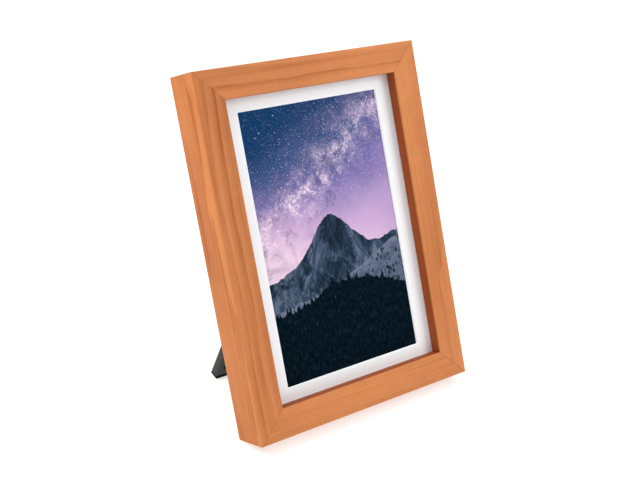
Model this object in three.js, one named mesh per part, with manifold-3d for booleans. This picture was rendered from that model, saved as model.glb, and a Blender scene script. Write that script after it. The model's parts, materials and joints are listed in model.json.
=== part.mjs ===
// Digital photo frame: a colour e-paper panel behind a white mat in a mitred solid-wood frame, with the
// electronics in the rebate under a screwed rear cover, and a hinged easel leg that the frame leans on.
//
// Millimetres. The frame is modelled upright in its own coordinates, with x to the viewer's right, y from the
// front face towards the back and z up the frame. One group then leans it back so that it stands on z = 0.

import * as THREE from "three";
import { mergeVertices } from "three/addons/utils/BufferGeometryUtils.js";
import Module from "manifold-3d";

const wasm = await Module();
wasm.setup();

const degrees = (angle) => (angle * Math.PI) / 180;

// ---- Driving dimensions ---------------------------------------------------------------------------------

const GAP = 0.3; // between two pieces that touch or press on each other
const SLIDE_GAP = 0.3; // around a piece that slides or turns
const PAST = 1; // how far a cut runs past the piece it is made in
const SUNK = 0.1; // how deep a joined-on feature starts inside its piece

// Picture, mat and wood section
const PICTURE_WIDTH = 96; // visible picture, a 5:3 panel used upright
const PICTURE_HEIGHT = 160;
const MAT_REVEAL_SIDE = 10.7; // white mat seen beside the picture
const MAT_REVEAL_END = 8; // white mat seen above and below the picture
const FACE_WIDTH = 17.5; // front face of each wooden rail
const WALL = 12; // wood left outside the rebate
const REAR_RIM = 6; // wood left outside the step that takes the rear cover
const LIP_DEPTH = 7.9; // front face to the back of the lip
const EDGE_BREAK = 0.5; // chamfer on the long edges of the wood

// Stack behind the lip, from front to back
const MAT_THICK = 0.8;
const PANEL_THICK = 1.2;
const FOAM_THICK = 0.8;
const TRAY_THICK = 1.5;
const POST_HEIGHT = 3.3; // tray to control board
const BOARD_THICK = 1.6;
const COMPONENT_ROOM = 5.7; // control board to the rear cover's inside
const COVER_THICK = 2.4;
const COVER_SETBACK = 0.3; // rear cover's outside below the wood's back

// Display module
const PANEL_MARGIN_SIDE = 7.6; // panel outline beyond the picture
const PANEL_MARGIN_END = 5.1;
const PANEL_POCKET_ROOM = 0.5; // tray pocket around the panel
const FOAM_INSET = 6; // foam pad inside the panel's outline
const TRAY_MARGIN = 0.5; // tray and mat inside the rebate
const RIBBON_WIDTH = 26;
const RIBBON_THICK = 0.3;
const RIBBON_BEND = 1.5;
const RIBBON_ROOM = 1.5; // slot in the tray around the ribbon
const RIBBON_CONNECTOR = { inset: 1, depth: 4.5, height: 2, endRoom: 1 };

// Control board and what is on it
const BOARD_SIDE_ROOM = 11.2; // board edge to the rebate wall
const BOARD_TOP_ROOM = 3;
const BOARD_MARGIN = 4; // board below the ribbon connector
const BOARD_SCREW_INSET = 4; // board screws in from the board's edges
const POST_RADIUS = 2.8; // posts and bosses that take a screw
const CHIP = { size: 10, thick: 1, fromLeft: 33, fromTop: 38 };
const COIL = { radius: 2.6, thick: 2.2, fromChip: 8 };
const RADIO = { width: 18, height: 25.5, thick: 0.8, fromRight: 8, fromTop: 3 };
const SHIELD = { inset: 1, antennaRoom: 7, thick: 2, corner: 0.8 };
const BAY_WIDTH = 26.5; // recess in the rear cover for the plug and card
const BAY_HEIGHT = 38;
const BAY_SIDE_ROOM = 9.2; // bay to the rebate wall
const BAY_WALL = 1.6;
const BAY_BELOW_BOARD_TOP = 47; // top of the bay below the board's top edge
const USB_WIDTH = 9;
const USB_HEIGHT = 3.2;
const USB_LENGTH = 7.4;
const USB_WALL = 0.4;
const USB_TONGUE = { width: 6.6, thick: 0.7, recess: 0.8 };
const USB_FROM_BAY_SIDE = 6; // middle of the socket to the bay's left side
const CARD_WIDTH = 11;
const CARD_LENGTH = 15;
const CARD_THICK = 1;
const CARD_PROUD = 2.2; // card seen in the bay when it is in
const CARD_FROM_BAY_SIDE = 8.2; // middle of the card to the bay's right side
const CARD_NOTCH = { width: 1.4, start: 4, slope: 1.5 }; // step in the card's right edge, from its top
const CARD_SOCKET = { wall: 1.5, backWall: 1, endRoom: 1, thick: 2, floor: 0.5 };
const SOCKET_ROOM = 0.4; // sockets clear of the bay and of the board's edge
const BATTERY_WIDTH = 66;
const BATTERY_HEIGHT = 46;
const BATTERY_THICK = 5;
const BATTERY_CORNER = 2;
const BATTERY_ABOVE_REBATE = 5;
const WIRE_RADIUS = 0.65;
const WIRE_PITCH_AT_CELL = 6;
const WIRE_PITCH_AT_PLUG = 2.4;
const PLUG = { x: -6, width: 6, height: 4.4, below: 3.5, above: 1.5 }; // below and above the board's edge
const PLUG_SOCKET = { wall: 0.8, from: 0.5, to: 6.5 }; // from and to are above the board's edge

// Controls in the rear cover
const BUTTON_RADIUS = 3;
const BUTTON_PITCH = 13;
const BUTTON_PROUD = 0.8;
const BUTTON_TRAVEL = 0.6;
const BUTTON_FLANGE = 1; // cap flange beyond its stem, inside the cover
const BUTTON_EDGE = 0.4; // chamfer round the cap
const FLANGE_THICK = 1.3; // flange of the caps, the slider and the light pipe
const SWITCH_HEIGHT = 2.4;
const TACT_SWITCH_HALF = 3;
const NUB_RADIUS = 1.3;
const NUB_SUNK = 0.7; // nub of a cap below its switch's top
const SLIDER_WIDTH = 4.2;
const SLIDER_HEIGHT = 2.8;
const SLIDER_TRAVEL = 3;
const SLIDER_FLANGE = 1.4; // slider flange beyond its slot at either end of its travel
const SLIDER_PIN = { width: 1.6, height: 1.2, room: 0.2 };
const SLIDER_GROOVE = { width: 0.5, depth: 0.4, pitch: 1.2 };
const SLIDE_SWITCH = { halfWidth: 4.6, halfHeight: 1.9 };
const LED = { width: 2, height: 1.4, thick: 0.9 };
const LIGHT_PIPE_RADIUS = 1.1;
const LIGHT_PIPE_FLANGE = 0.9;
const LIGHT_PIPE_PROUD = 0.2;
const CONTROL_DROP = 15; // control row below the board's top edge
const LED_FROM_BOARD_SIDE = 5;
const LED_TO_BUTTON = 10;
const BUTTON_TO_SLIDER = 15;

// Rear cover
const COVER_CORNER = 1.5;
const RIB_DEPTH = 4.3; // rib round the inside of the cover
const RIB_THICK = 1.6;
const BOSS_DEPTH = 3.7; // bosses that take the bracket's screws
const COLUMN_RADIUS = 2.5; // columns that press the tray forward
const COLUMN_FROM_SIDE = 5.2;
const COLUMN_FROM_END = 9.5;
const COLUMN_ABOVE_BATTERY = 9;

// Easel leg and hinge
const LEAN = degrees(17.3); // frame leans back from upright
const LEG_OPEN = degrees(32); // leg opens from the back of the frame
const HINGE_DROP = 87; // hinge axis below the frame's top
const LEG_THICK = 6.6;
const LEG_HEAD_WIDTH = 33.4; // leg between the ears of the bracket
const LEG_NECK_WIDTH = 50; // leg just below the bracket
const LEG_NECK_DROP = 3; // straight stretch below the knuckle
const LEG_NECK_LENGTH = 8; // sloping shoulder from the head to the neck
const LEG_FOOT_WIDTH = 105.6;
const LEG_SKIN = 2.4; // solid skin on the leg's outer side
const LEG_RIB = 1.8;
const LEG_POCKET_ROWS = 4;
const LEG_HEEL = 7; // leg above the hinge axis, which is its stop
const FOOT_STRIP = 2;
const FOOT_CORNER = 1.5; // corner radius of the foot strip
const FOOT_CHAMFER = 0.8; // facet on the foot strip, flat on the table
const PIN_RADIUS = 1.5;
const PIN_HEAD = { thick: 0.8, beyond: 1 };
const KNUCKLE_WALL = 2.2;
const KNUCKLE_GAP = 0.36; // knuckle to the bracket's plate
const EAR_THICK = 4.5;
const EAR_FOOT = 1.6; // how much wider an ear is at its foot, above and below
const BRACKET_THICK = 1.6;
const BRACKET_ABOVE = 17; // bracket above and below the hinge axis
const BRACKET_BELOW = 15;
const BRACKET_CORNER = 2;
const BRACKET_SCREW_X = 15;
const BRACKET_SCREW_FROM_TOP = 4.5;
const BRACKET_SCREW_FROM_BOTTOM = 4;

// V-nails across the mitres, driven in from the back
const V_NAIL = { arm: 3, thick: 0.8, depth: 8, fromStep: 1.2, sunk: 0.2 };

// Screws: countersunk cover and bracket screws, round-headed board screws
const COVER_SCREW = { head: 2.6, headDepth: 1.4, shank: 1.3, length: 12 };
const BRACKET_SCREW = { head: 2.2, headDepth: 1.1, shank: 1.1, length: 7.6 };
const BOARD_SCREW = { head: 1.9, headHeight: 1.2, shank: 1, length: 5.6, point: 1 };
const COVER_SCREW_FROM_END = 27;
const HEAD_SUNK = 0.1; // countersunk heads below the surface
const CROSS_WIDTH = 0.7; // arms of the cross recess in a screw's head

const ROUND = 20; // sides of a round piece
const SMALL = 12; // sides of a screw, post or hole

// ---- Sizes worked out from them -------------------------------------------------------------------------

const frameWidth = PICTURE_WIDTH + 2 * (MAT_REVEAL_SIDE + FACE_WIDTH);
const frameHeight = PICTURE_HEIGHT + 2 * (MAT_REVEAL_END + FACE_WIDTH);
const halfWidth = frameWidth / 2;
const centreZ = frameHeight / 2;
const rebateHalf = halfWidth - WALL;
const rebateBottom = WALL;
const rebateTop = frameHeight - WALL;

const matFront = LIP_DEPTH + GAP;
const matBack = matFront + MAT_THICK;
const panelFront = matBack + GAP;
const panelBack = panelFront + PANEL_THICK;
const foamFront = panelBack + GAP;
const foamBack = foamFront + FOAM_THICK;
const trayFront = foamBack + GAP;
const trayBack = trayFront + TRAY_THICK;
const boardFront = trayBack + POST_HEIGHT + GAP;
const boardBack = boardFront + BOARD_THICK;
const partsFront = boardBack + GAP;
const coverInside = boardBack + COMPONENT_ROOM;
const coverOutside = coverInside + COVER_THICK;
const frameDepth = coverOutside + COVER_SETBACK;
const stepFront = coverInside - GAP; // floor of the step in the wood

const panelHalf = PICTURE_WIDTH / 2 + PANEL_MARGIN_SIDE;
const panelHalfHeight = PICTURE_HEIGHT / 2 + PANEL_MARGIN_END;
const trayHalf = rebateHalf - TRAY_MARGIN;
const trayBottom = rebateBottom + TRAY_MARGIN;
const trayTop = rebateTop - TRAY_MARGIN;
const coverHalf = halfWidth - REAR_RIM - GAP;
const coverBottom = REAR_RIM + GAP;
const coverTop = frameHeight - REAR_RIM - GAP;

const boardHalf = rebateHalf - BOARD_SIDE_ROOM;
const boardTop = rebateTop - BOARD_TOP_ROOM;
const boardBottom = centreZ - RIBBON_WIDTH / 2 - BOARD_MARGIN;
const bayRight = rebateHalf - BAY_SIDE_ROOM;
const bayLeft = bayRight - BAY_WIDTH;
const bayTop = boardTop - BAY_BELOW_BOARD_TOP;
const bayBottom = bayTop - BAY_HEIGHT;
const bayFloorFront = trayBack + 4 * GAP;
const bayFloor = bayFloorFront + BAY_WALL;
const boardStepZ = bayTop + BAY_WALL + GAP; // board edge that carries the sockets
const boardStepX = bayLeft - BAY_WALL - GAP;

const controlZ = boardTop - CONTROL_DROP;
const ledX = -boardHalf + LED_FROM_BOARD_SIDE;
const buttonX = [0, 1, 2].map((n) => ledX + LED_TO_BUTTON + n * BUTTON_PITCH);
const sliderX = buttonX[2] + BUTTON_TO_SLIDER;
const usbX = bayLeft + USB_FROM_BAY_SIDE;
const cardX = bayRight - CARD_FROM_BAY_SIDE;

const knuckleRadius = PIN_RADIUS + SLIDE_GAP + KNUCKLE_WALL;
const bracketFront = coverOutside + GAP;
const bracketBack = bracketFront + BRACKET_THICK;
const hingeY = bracketBack + KNUCKLE_GAP + knuckleRadius;
const hingeZ = frameHeight - HINGE_DROP;
const earInside = LEG_HEAD_WIDTH / 2 + SLIDE_GAP;
const bracketHalf = earInside + EAR_THICK;
const contactY = frameDepth - EDGE_BREAK; // rear bottom edge, which stands on the table

// The leg is as long as it takes for the facet on its foot to lie on the table.
const facetN = -LEG_THICK / 2 + FOOT_CHAMFER;
const legLength =
  ((hingeZ + facetN * Math.sin(LEG_OPEN)) * Math.cos(LEAN) -
    (hingeY - contactY + facetN * Math.cos(LEG_OPEN)) * Math.sin(LEAN)) /
  Math.cos(LEG_OPEN - LEAN);

// ---- Materials ------------------------------------------------------------------------------------------

function finish(color, roughness, metalness = 0) {
  return new THREE.MeshStandardMaterial({ color, roughness, metalness });
}

const materials = {
  wood: finish(0xcf7f4b, 0.45),
  mat: finish(0xf4f2f4, 0.9),
  panel: finish(0x4b4f86, 0.55),
  foam: finish(0x2b2c2f, 0.95),
  tray: finish(0xd9d9d6, 0.6),
  blackPlastic: finish(0x17181a, 0.5),
  rubber: finish(0x101112, 0.85),
  board: finish(0x12502f, 0.45),
  steel: finish(0xb9bdc2, 0.35, 1),
  screw: finish(0x2a2b2e, 0.4, 1),
  ribbon: finish(0xb8792c, 0.4),
  ivory: finish(0xe9e5d8, 0.5),
  battery: finish(0xc9ccd1, 0.35, 0.6),
  redWire: finish(0xb3201f, 0.5),
  blackWire: finish(0x151515, 0.5),
  clear: finish(0xe6eef2, 0.15),
};

// ---- Shape helpers --------------------------------------------------------------------------------------

// A closed three.js geometry as a manifold-3d solid.
function solid(geometry) {
  const bare = geometry.index ? geometry.toNonIndexed() : geometry.clone();
  bare.deleteAttribute("normal");
  bare.deleteAttribute("uv");
  const merged = mergeVertices(bare, 1e-4);
  const index = merged.index.array;
  const kept = [];
  for (let i = 0; i < index.length; i += 3) {
    const [a, b, c] = [index[i], index[i + 1], index[i + 2]];
    if (a !== b && b !== c && a !== c) kept.push(a, b, c);
  }
  return new wasm.Manifold(
    new wasm.Mesh({
      numProp: 3,
      vertProperties: merged.attributes.position.array,
      triVerts: new Uint32Array(kept),
    }),
  );
}

function geometryOf(made) {
  const mesh = made.getMesh();
  return new THREE.BufferGeometry()
    .setAttribute("position", new THREE.BufferAttribute(mesh.vertProperties, 3))
    .setIndex(new THREE.BufferAttribute(mesh.triVerts, 1));
}

function join(...geometries) {
  return geometryOf(geometries.map(solid).reduce((whole, next) => whole.add(next)));
}

function cut(geometry, ...tools) {
  return geometryOf(
    tools.map(solid).reduce((left, tool) => left.subtract(tool), solid(geometry)),
  );
}

function block(x0, x1, y0, y1, z0, z1) {
  return new THREE.BoxGeometry(x1 - x0, y1 - y0, z1 - z0).translate(
    (x0 + x1) / 2,
    (y0 + y1) / 2,
    (z0 + z1) / 2,
  );
}

function polygon(points) {
  return new THREE.Shape(points.map(([a, b]) => new THREE.Vector2(a, b)));
}

// A shape drawn in x and z, filled from y0 to y1.
function slab(shape, y0, y1) {
  return new THREE.ExtrudeGeometry(shape, { depth: y1 - y0, bevelEnabled: false, curveSegments: 5 })
    .rotateX(Math.PI / 2)
    .translate(0, y1, 0);
}

// A shape drawn in y and z, filled from x0 to x1.
function bar(shape, x0, x1) {
  const flat = new THREE.ExtrudeGeometry(shape, {
    depth: x1 - x0,
    bevelEnabled: false,
    curveSegments: 8,
  });
  const turn = new THREE.Matrix4().makeBasis(
    new THREE.Vector3(0, 1, 0),
    new THREE.Vector3(0, 0, 1),
    new THREE.Vector3(1, 0, 0),
  );
  return flat.applyMatrix4(turn).translate(x0, 0, 0);
}

function rectangle(x0, x1, z0, z1, radius = 0) {
  if (!radius) {
    return polygon([
      [x0, z0],
      [x1, z0],
      [x1, z1],
      [x0, z1],
    ]);
  }
  const shape = new THREE.Shape();
  shape.moveTo(x0 + radius, z0);
  shape.lineTo(x1 - radius, z0);
  shape.absarc(x1 - radius, z0 + radius, radius, -Math.PI / 2, 0);
  shape.lineTo(x1, z1 - radius);
  shape.absarc(x1 - radius, z1 - radius, radius, 0, Math.PI / 2);
  shape.lineTo(x0 + radius, z1);
  shape.absarc(x0 + radius, z1 - radius, radius, Math.PI / 2, Math.PI);
  shape.lineTo(x0, z0 + radius);
  shape.absarc(x0 + radius, z0 + radius, radius, Math.PI, 1.5 * Math.PI);
  return shape;
}

// A round rod along y at (x, z); its radius can differ at the two ends.
function rod(x, z, y0, y1, radius, radiusAtEnd = radius, sides = ROUND) {
  return new THREE.CylinderGeometry(radiusAtEnd, radius, y1 - y0, sides).translate(
    x,
    (y0 + y1) / 2,
    z,
  );
}

// A small post, or the hole for a screw, along y at (x, z).
function post(x, z, y0, y1, radius) {
  return rod(x, z, y0, y1, radius, radius, SMALL);
}

// A profile of [radius, y] points turned about y, then moved to (x, z).
function turned(profile, x, z, sides) {
  const points = profile.map(([radius, y]) => new THREE.Vector2(radius, y));
  return new THREE.LatheGeometry(points, sides).translate(x, 0, z);
}

// A rod along x through the origin.
function crossRod(length, radius) {
  return new THREE.CylinderGeometry(radius, radius, length, ROUND).rotateZ(Math.PI / 2);
}

// A box from y0 to y1 whose near end is `grow` wider all round than its far end.
function flaredBlock(x0, x1, z0, z1, y0, y1, grow) {
  const geometry = block(x0, x1, y0, y1, z0, z1);
  const position = geometry.getAttribute("position");
  for (let i = 0; i < position.count; i++) {
    if (position.getY(i) > (y0 + y1) / 2) continue;
    position.setX(i, position.getX(i) + grow * Math.sign(position.getX(i) - (x0 + x1) / 2));
    position.setZ(i, position.getZ(i) + grow * Math.sign(position.getZ(i) - (z0 + z1) / 2));
  }
  return geometry;
}

// ---- The groups -----------------------------------------------------------------------------------------

const frame = new THREE.Group();
frame.rotation.x = -LEAN;

function add(parent, name, geometry, material) {
  const mesh = new THREE.Mesh(geometry, material);
  mesh.name = name;
  parent.add(mesh);
  return mesh;
}

// ---- Wooden frame ---------------------------------------------------------------------------------------

// Section of a rail: u runs inwards from the outer edge and y from the front face to the back.
function railSection() {
  const e = EDGE_BREAK;
  return [
    [e, 0],
    [FACE_WIDTH - e, 0],
    [FACE_WIDTH, e],
    [FACE_WIDTH, LIP_DEPTH],
    [WALL, LIP_DEPTH],
    [WALL, stepFront],
    [REAR_RIM, stepFront],
    [REAR_RIM, frameDepth],
    [e, frameDepth],
    [0, frameDepth - e],
    [0, e],
  ];
}

// A rail whose outer edge lies on x = 0 and that runs along z, with mitred ends: each point of the section
// stops short of the corner by its own distance from the outer edge.
function rail(length) {
  const geometry = new THREE.ExtrudeGeometry(polygon(railSection()), {
    depth: length,
    bevelEnabled: false,
  });
  const position = geometry.getAttribute("position");
  for (let i = 0; i < position.count; i++) {
    const short = position.getX(i) + GAP / 2;
    position.setZ(i, position.getZ(i) < length / 2 ? short : length - short);
  }
  return geometry;
}

const vNailInset = REAR_RIM - V_NAIL.fromStep; // inner side of the V from the frame's outer edges

// The V-shaped steel nail across one mitre, grown by `grow` for the slot it sits in.
function vNail(sideX, sideZ, grow = 0) {
  const outer = vNailInset + grow;
  const inner = vNailInset - V_NAIL.thick - grow;
  const tip = vNailInset - V_NAIL.arm - grow;
  const points = [
    [outer, outer],
    [tip, outer],
    [tip, inner],
    [inner, inner],
    [inner, tip],
    [outer, tip],
  ];
  const placed = points.map(([u, v]) => [
    sideX * (halfWidth - u),
    centreZ + sideZ * (centreZ - v),
  ]);
  if (sideX * sideZ < 0) placed.reverse();
  const back = frameDepth - V_NAIL.sunk + (grow ? PAST : 0);
  return slab(polygon(placed), frameDepth - V_NAIL.depth - grow, back);
}

const corners = [
  ["bottom_left", -1, -1],
  ["bottom_right", 1, -1],
  ["top_left", -1, 1],
  ["top_right", 1, 1],
];
const nailSlots = corners.map(([, sx, sz]) => vNail(sx, sz, GAP));

const coverScrewX = halfWidth - (WALL + REAR_RIM) / 2;
const coverScrewZ = [COVER_SCREW_FROM_END, centreZ, frameHeight - COVER_SCREW_FROM_END];
const coverScrews = [-1, 1].flatMap((side) => coverScrewZ.map((z) => [side * coverScrewX, z]));
const coverScrewEnd = coverOutside - COVER_SCREW.length;
const coverScrewHoles = coverScrews.map(([x, z]) =>
  post(x, z, coverScrewEnd - GAP, frameDepth + PAST, COVER_SCREW.shank + GAP),
);

// Turned in its plane by whole quarter turns, so that its outer edge faces out.
function placedRail(length, turn, x, z) {
  const geometry = rail(length).applyMatrix4(new THREE.Matrix4().makeRotationY(turn));
  return geometry.translate(x, 0, z);
}

add(
  frame,
  "frame_rail_left",
  cut(placedRail(frameHeight, 0, -halfWidth, 0), ...nailSlots, ...coverScrewHoles),
  materials.wood,
);
add(
  frame,
  "frame_rail_right",
  cut(placedRail(frameHeight, Math.PI, halfWidth, frameHeight), ...nailSlots, ...coverScrewHoles),
  materials.wood,
);
add(
  frame,
  "frame_rail_bottom",
  cut(placedRail(frameWidth, -Math.PI / 2, halfWidth, 0), ...nailSlots),
  materials.wood,
);
add(
  frame,
  "frame_rail_top",
  cut(placedRail(frameWidth, Math.PI / 2, -halfWidth, frameHeight), ...nailSlots),
  materials.wood,
);
for (const [name, sx, sz] of corners) {
  add(frame, "corner_v_nail_" + name, vNail(sx, sz), materials.steel);
}

// ---- Mat, display panel and tray ------------------------------------------------------------------------

add(
  frame,
  "mat_board",
  cut(
    slab(rectangle(-trayHalf, trayHalf, trayBottom, trayTop), matFront, matBack),
    flaredBlock(
      -PICTURE_WIDTH / 2,
      PICTURE_WIDTH / 2,
      centreZ - PICTURE_HEIGHT / 2,
      centreZ + PICTURE_HEIGHT / 2,
      matFront,
      matBack,
      MAT_THICK,
    ),
  ),
  materials.mat,
);

// x0, x1, z0 and z1 of the panel
const panelBox = [-panelHalf, panelHalf, centreZ - panelHalfHeight, centreZ + panelHalfHeight];
add(frame, "display_panel", slab(rectangle(...panelBox), panelFront, panelBack), materials.panel);

add(
  frame,
  "panel_foam_pad",
  slab(
    rectangle(
      panelBox[0] + FOAM_INSET,
      panelBox[1] - FOAM_INSET,
      panelBox[2] + FOAM_INSET,
      panelBox[3] - FOAM_INSET,
    ),
    foamFront,
    foamBack,
  ),
  materials.foam,
);

// Screw posts of the tray, under the control board
const boardScrewEnd = boardBack - BOARD_SCREW.length;
const boardScrews = [
  [-boardHalf + BOARD_SCREW_INSET, boardTop - BOARD_SCREW_INSET],
  [boardHalf - BOARD_SCREW_INSET, boardTop - BOARD_SCREW_INSET],
  [-boardHalf + BOARD_SCREW_INSET, centreZ + RIBBON_WIDTH / 2 + 2 * BOARD_SCREW_INSET],
  [boardStepX - BOARD_SCREW_INSET, boardBottom + BOARD_SCREW_INSET],
];

function displayTray() {
  const whole = slab(rectangle(-trayHalf, trayHalf, trayBottom, trayTop), panelFront, trayBack);
  const posts = boardScrews.map(([x, z]) =>
    post(x, z, trayBack - SUNK, boardFront - GAP, POST_RADIUS),
  );
  const screwHoles = boardScrews.map(([x, z]) =>
    post(x, z, boardScrewEnd - GAP, boardFront, BOARD_SCREW.shank + GAP),
  );
  return cut(
    join(whole, ...posts),
    block(
      panelBox[0] - PANEL_POCKET_ROOM,
      panelBox[1] + PANEL_POCKET_ROOM,
      panelFront - PAST,
      trayFront,
      panelBox[2] - PANEL_POCKET_ROOM,
      panelBox[3] + PANEL_POCKET_ROOM,
    ),
    block(
      -panelHalf - 2 * RIBBON_BEND - 2 * RIBBON_ROOM,
      -panelHalf,
      panelFront - PAST,
      trayBack + PAST,
      centreZ - RIBBON_WIDTH / 2 - RIBBON_ROOM,
      centreZ + RIBBON_WIDTH / 2 + RIBBON_ROOM,
    ),
    ...screwHoles,
  );
}
add(frame, "display_tray", displayTray(), materials.tray);

// ---- Display ribbon: out of the panel's side, back past the board's edge and into its connector -----------

const ribbonConnectorX = -boardHalf + RIBBON_CONNECTOR.inset;

function displayRibbon() {
  const t = RIBBON_THICK / 2;
  const r = RIBBON_BEND;
  const start = -panelHalf - GAP;
  const end = ribbonConnectorX - GAP;
  const near = (panelFront + panelBack) / 2;
  const far = partsFront + RIBBON_CONNECTOR.height / 2;
  const turn = start - RIBBON_ROOM; // centre of both bends
  const shape = new THREE.Shape(); // drawn in x and y
  shape.moveTo(start, near - t);
  shape.absarc(turn, near + r, r + t, -Math.PI / 2, Math.PI, true);
  shape.absarc(turn, far - r, r + t, Math.PI, Math.PI / 2, true);
  shape.lineTo(end, far + t);
  shape.lineTo(end, far - t);
  shape.absarc(turn, far - r, r - t, Math.PI / 2, Math.PI);
  shape.absarc(turn, near + r, r - t, Math.PI, 1.5 * Math.PI);
  shape.lineTo(start, near + t);
  return new THREE.ExtrudeGeometry(shape, {
    depth: RIBBON_WIDTH,
    bevelEnabled: false,
    curveSegments: 6,
  }).translate(0, 0, centreZ - RIBBON_WIDTH / 2);
}
add(frame, "display_ribbon", displayRibbon(), materials.ribbon);
add(
  frame,
  "ribbon_connector",
  block(
    ribbonConnectorX,
    ribbonConnectorX + RIBBON_CONNECTOR.depth,
    partsFront,
    partsFront + RIBBON_CONNECTOR.height,
    centreZ - RIBBON_WIDTH / 2 - RIBBON_CONNECTOR.endRoom,
    centreZ + RIBBON_WIDTH / 2 + RIBBON_CONNECTOR.endRoom,
  ),
  materials.ivory,
);

// ---- Control board --------------------------------------------------------------------------------------

function controlBoard() {
  const outline = polygon([
    [-boardHalf, boardBottom],
    [boardStepX, boardBottom],
    [boardStepX, boardStepZ],
    [boardHalf, boardStepZ],
    [boardHalf, boardTop],
    [-boardHalf, boardTop],
  ]);
  return cut(
    slab(outline, boardFront, boardBack),
    ...boardScrews.map(([x, z]) =>
      post(x, z, boardFront - PAST, boardBack + PAST, BOARD_SCREW.shank + GAP),
    ),
  );
}
add(frame, "control_board", controlBoard(), materials.board);

const chipX = -boardHalf + CHIP.fromLeft;
const chipZ = boardTop - CHIP.fromTop;
add(
  frame,
  "processor_chip",
  block(chipX, chipX + CHIP.size, partsFront, partsFront + CHIP.thick, chipZ, chipZ + CHIP.size),
  materials.blackPlastic,
);
const coilX = chipX + CHIP.size + COIL.fromChip;
add(
  frame,
  "boost_coil",
  post(coilX, chipZ + CHIP.size / 2, partsFront, partsFront + COIL.thick, COIL.radius),
  materials.foam,
);

const radioX = boardHalf - RADIO.fromRight - RADIO.width;
const radioZ = boardTop - RADIO.fromTop - RADIO.height;
const radioBack = partsFront + RADIO.thick;
add(
  frame,
  "wireless_module",
  block(radioX, radioX + RADIO.width, partsFront, radioBack, radioZ, radioZ + RADIO.height),
  materials.board,
);

function wirelessShield() {
  const outline = rectangle(
    radioX + SHIELD.inset,
    radioX + RADIO.width - SHIELD.inset,
    radioZ + SHIELD.inset,
    radioZ + RADIO.height - SHIELD.antennaRoom,
    SHIELD.corner,
  );
  return slab(outline, radioBack + GAP, radioBack + GAP + SHIELD.thick);
}
add(frame, "wireless_shield", wirelessShield(), materials.steel);

// USB-C socket at the board's step, opening down into the bay
const usbMouth = bayTop + SOCKET_ROOM;
const usbBackWall = 1;
const usbInnerEnd = usbMouth + USB_LENGTH - usbBackWall;
const usbY = partsFront + USB_HEIGHT / 2;

// A flat oval in x and y, filled from z0 to z1
function usbOval(radius, z0, z1) {
  const straight = (USB_WIDTH - USB_HEIGHT) / 2;
  const oval = new THREE.Shape();
  oval.absarc(usbX + straight, usbY, radius, -Math.PI / 2, Math.PI / 2);
  oval.absarc(usbX - straight, usbY, radius, Math.PI / 2, 1.5 * Math.PI);
  return new THREE.ExtrudeGeometry(oval, {
    depth: z1 - z0,
    bevelEnabled: false,
    curveSegments: 6,
  }).translate(0, 0, z0);
}
add(
  frame,
  "usb_c_shell",
  cut(
    usbOval(USB_HEIGHT / 2, usbMouth, usbMouth + USB_LENGTH),
    usbOval(USB_HEIGHT / 2 - USB_WALL, usbMouth - PAST, usbInnerEnd),
  ),
  materials.steel,
);
add(
  frame,
  "usb_c_tongue",
  block(
    usbX - USB_TONGUE.width / 2,
    usbX + USB_TONGUE.width / 2,
    usbY - USB_TONGUE.thick / 2,
    usbY + USB_TONGUE.thick / 2,
    usbMouth + USB_TONGUE.recess,
    usbInnerEnd - GAP,
  ),
  materials.blackPlastic,
);

// Card socket and card, beside it
const cardY = partsFront + CARD_SOCKET.floor + CARD_THICK / 2;
const cardBottom = bayTop - CARD_PROUD;
const cardTop = cardBottom + CARD_LENGTH;

function cardSocket() {
  const half = CARD_WIDTH / 2 + CARD_SOCKET.wall;
  const bottom = boardStepZ + SOCKET_ROOM;
  const insideTop = cardTop + CARD_SOCKET.endRoom;
  return cut(
    block(
      cardX - half,
      cardX + half,
      partsFront,
      partsFront + CARD_SOCKET.thick,
      bottom,
      insideTop + CARD_SOCKET.backWall,
    ),
    block(
      cardX - CARD_WIDTH / 2 - SLIDE_GAP,
      cardX + CARD_WIDTH / 2 + SLIDE_GAP,
      cardY - CARD_THICK / 2 - SLIDE_GAP,
      cardY + CARD_THICK / 2 + SLIDE_GAP,
      bottom - PAST,
      insideTop,
    ),
  );
}
add(frame, "card_socket", cardSocket(), materials.steel);

function memoryCard() {
  const left = cardX - CARD_WIDTH / 2;
  const right = cardX + CARD_WIDTH / 2;
  const outline = polygon([
    [left, cardBottom],
    [right, cardBottom],
    [right, cardTop - CARD_NOTCH.start - CARD_NOTCH.slope],
    [right - CARD_NOTCH.width, cardTop - CARD_NOTCH.start],
    [right - CARD_NOTCH.width, cardTop],
    [left, cardTop],
  ]);
  return slab(outline, cardY - CARD_THICK / 2, cardY + CARD_THICK / 2);
}
add(frame, "memory_card", memoryCard(), materials.blackPlastic);

// ---- Battery, its lead and plug -------------------------------------------------------------------------

const batteryBottom = rebateBottom + BATTERY_ABOVE_REBATE;
const batteryTop = batteryBottom + BATTERY_HEIGHT;
const batteryFront = trayBack + GAP;
const batteryBack = batteryFront + BATTERY_THICK;
add(
  frame,
  "battery_cell",
  slab(
    rectangle(-BATTERY_WIDTH / 2, BATTERY_WIDTH / 2, batteryBottom, batteryTop, BATTERY_CORNER),
    batteryFront,
    batteryBack,
  ),
  materials.battery,
);

const plugBottom = boardBottom - PLUG.below;
const plugTop = boardBottom + PLUG.above;
const plugFront = partsFront + PLUG_SOCKET.wall + GAP;
const plugBack = partsFront + PLUG.height;

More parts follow.
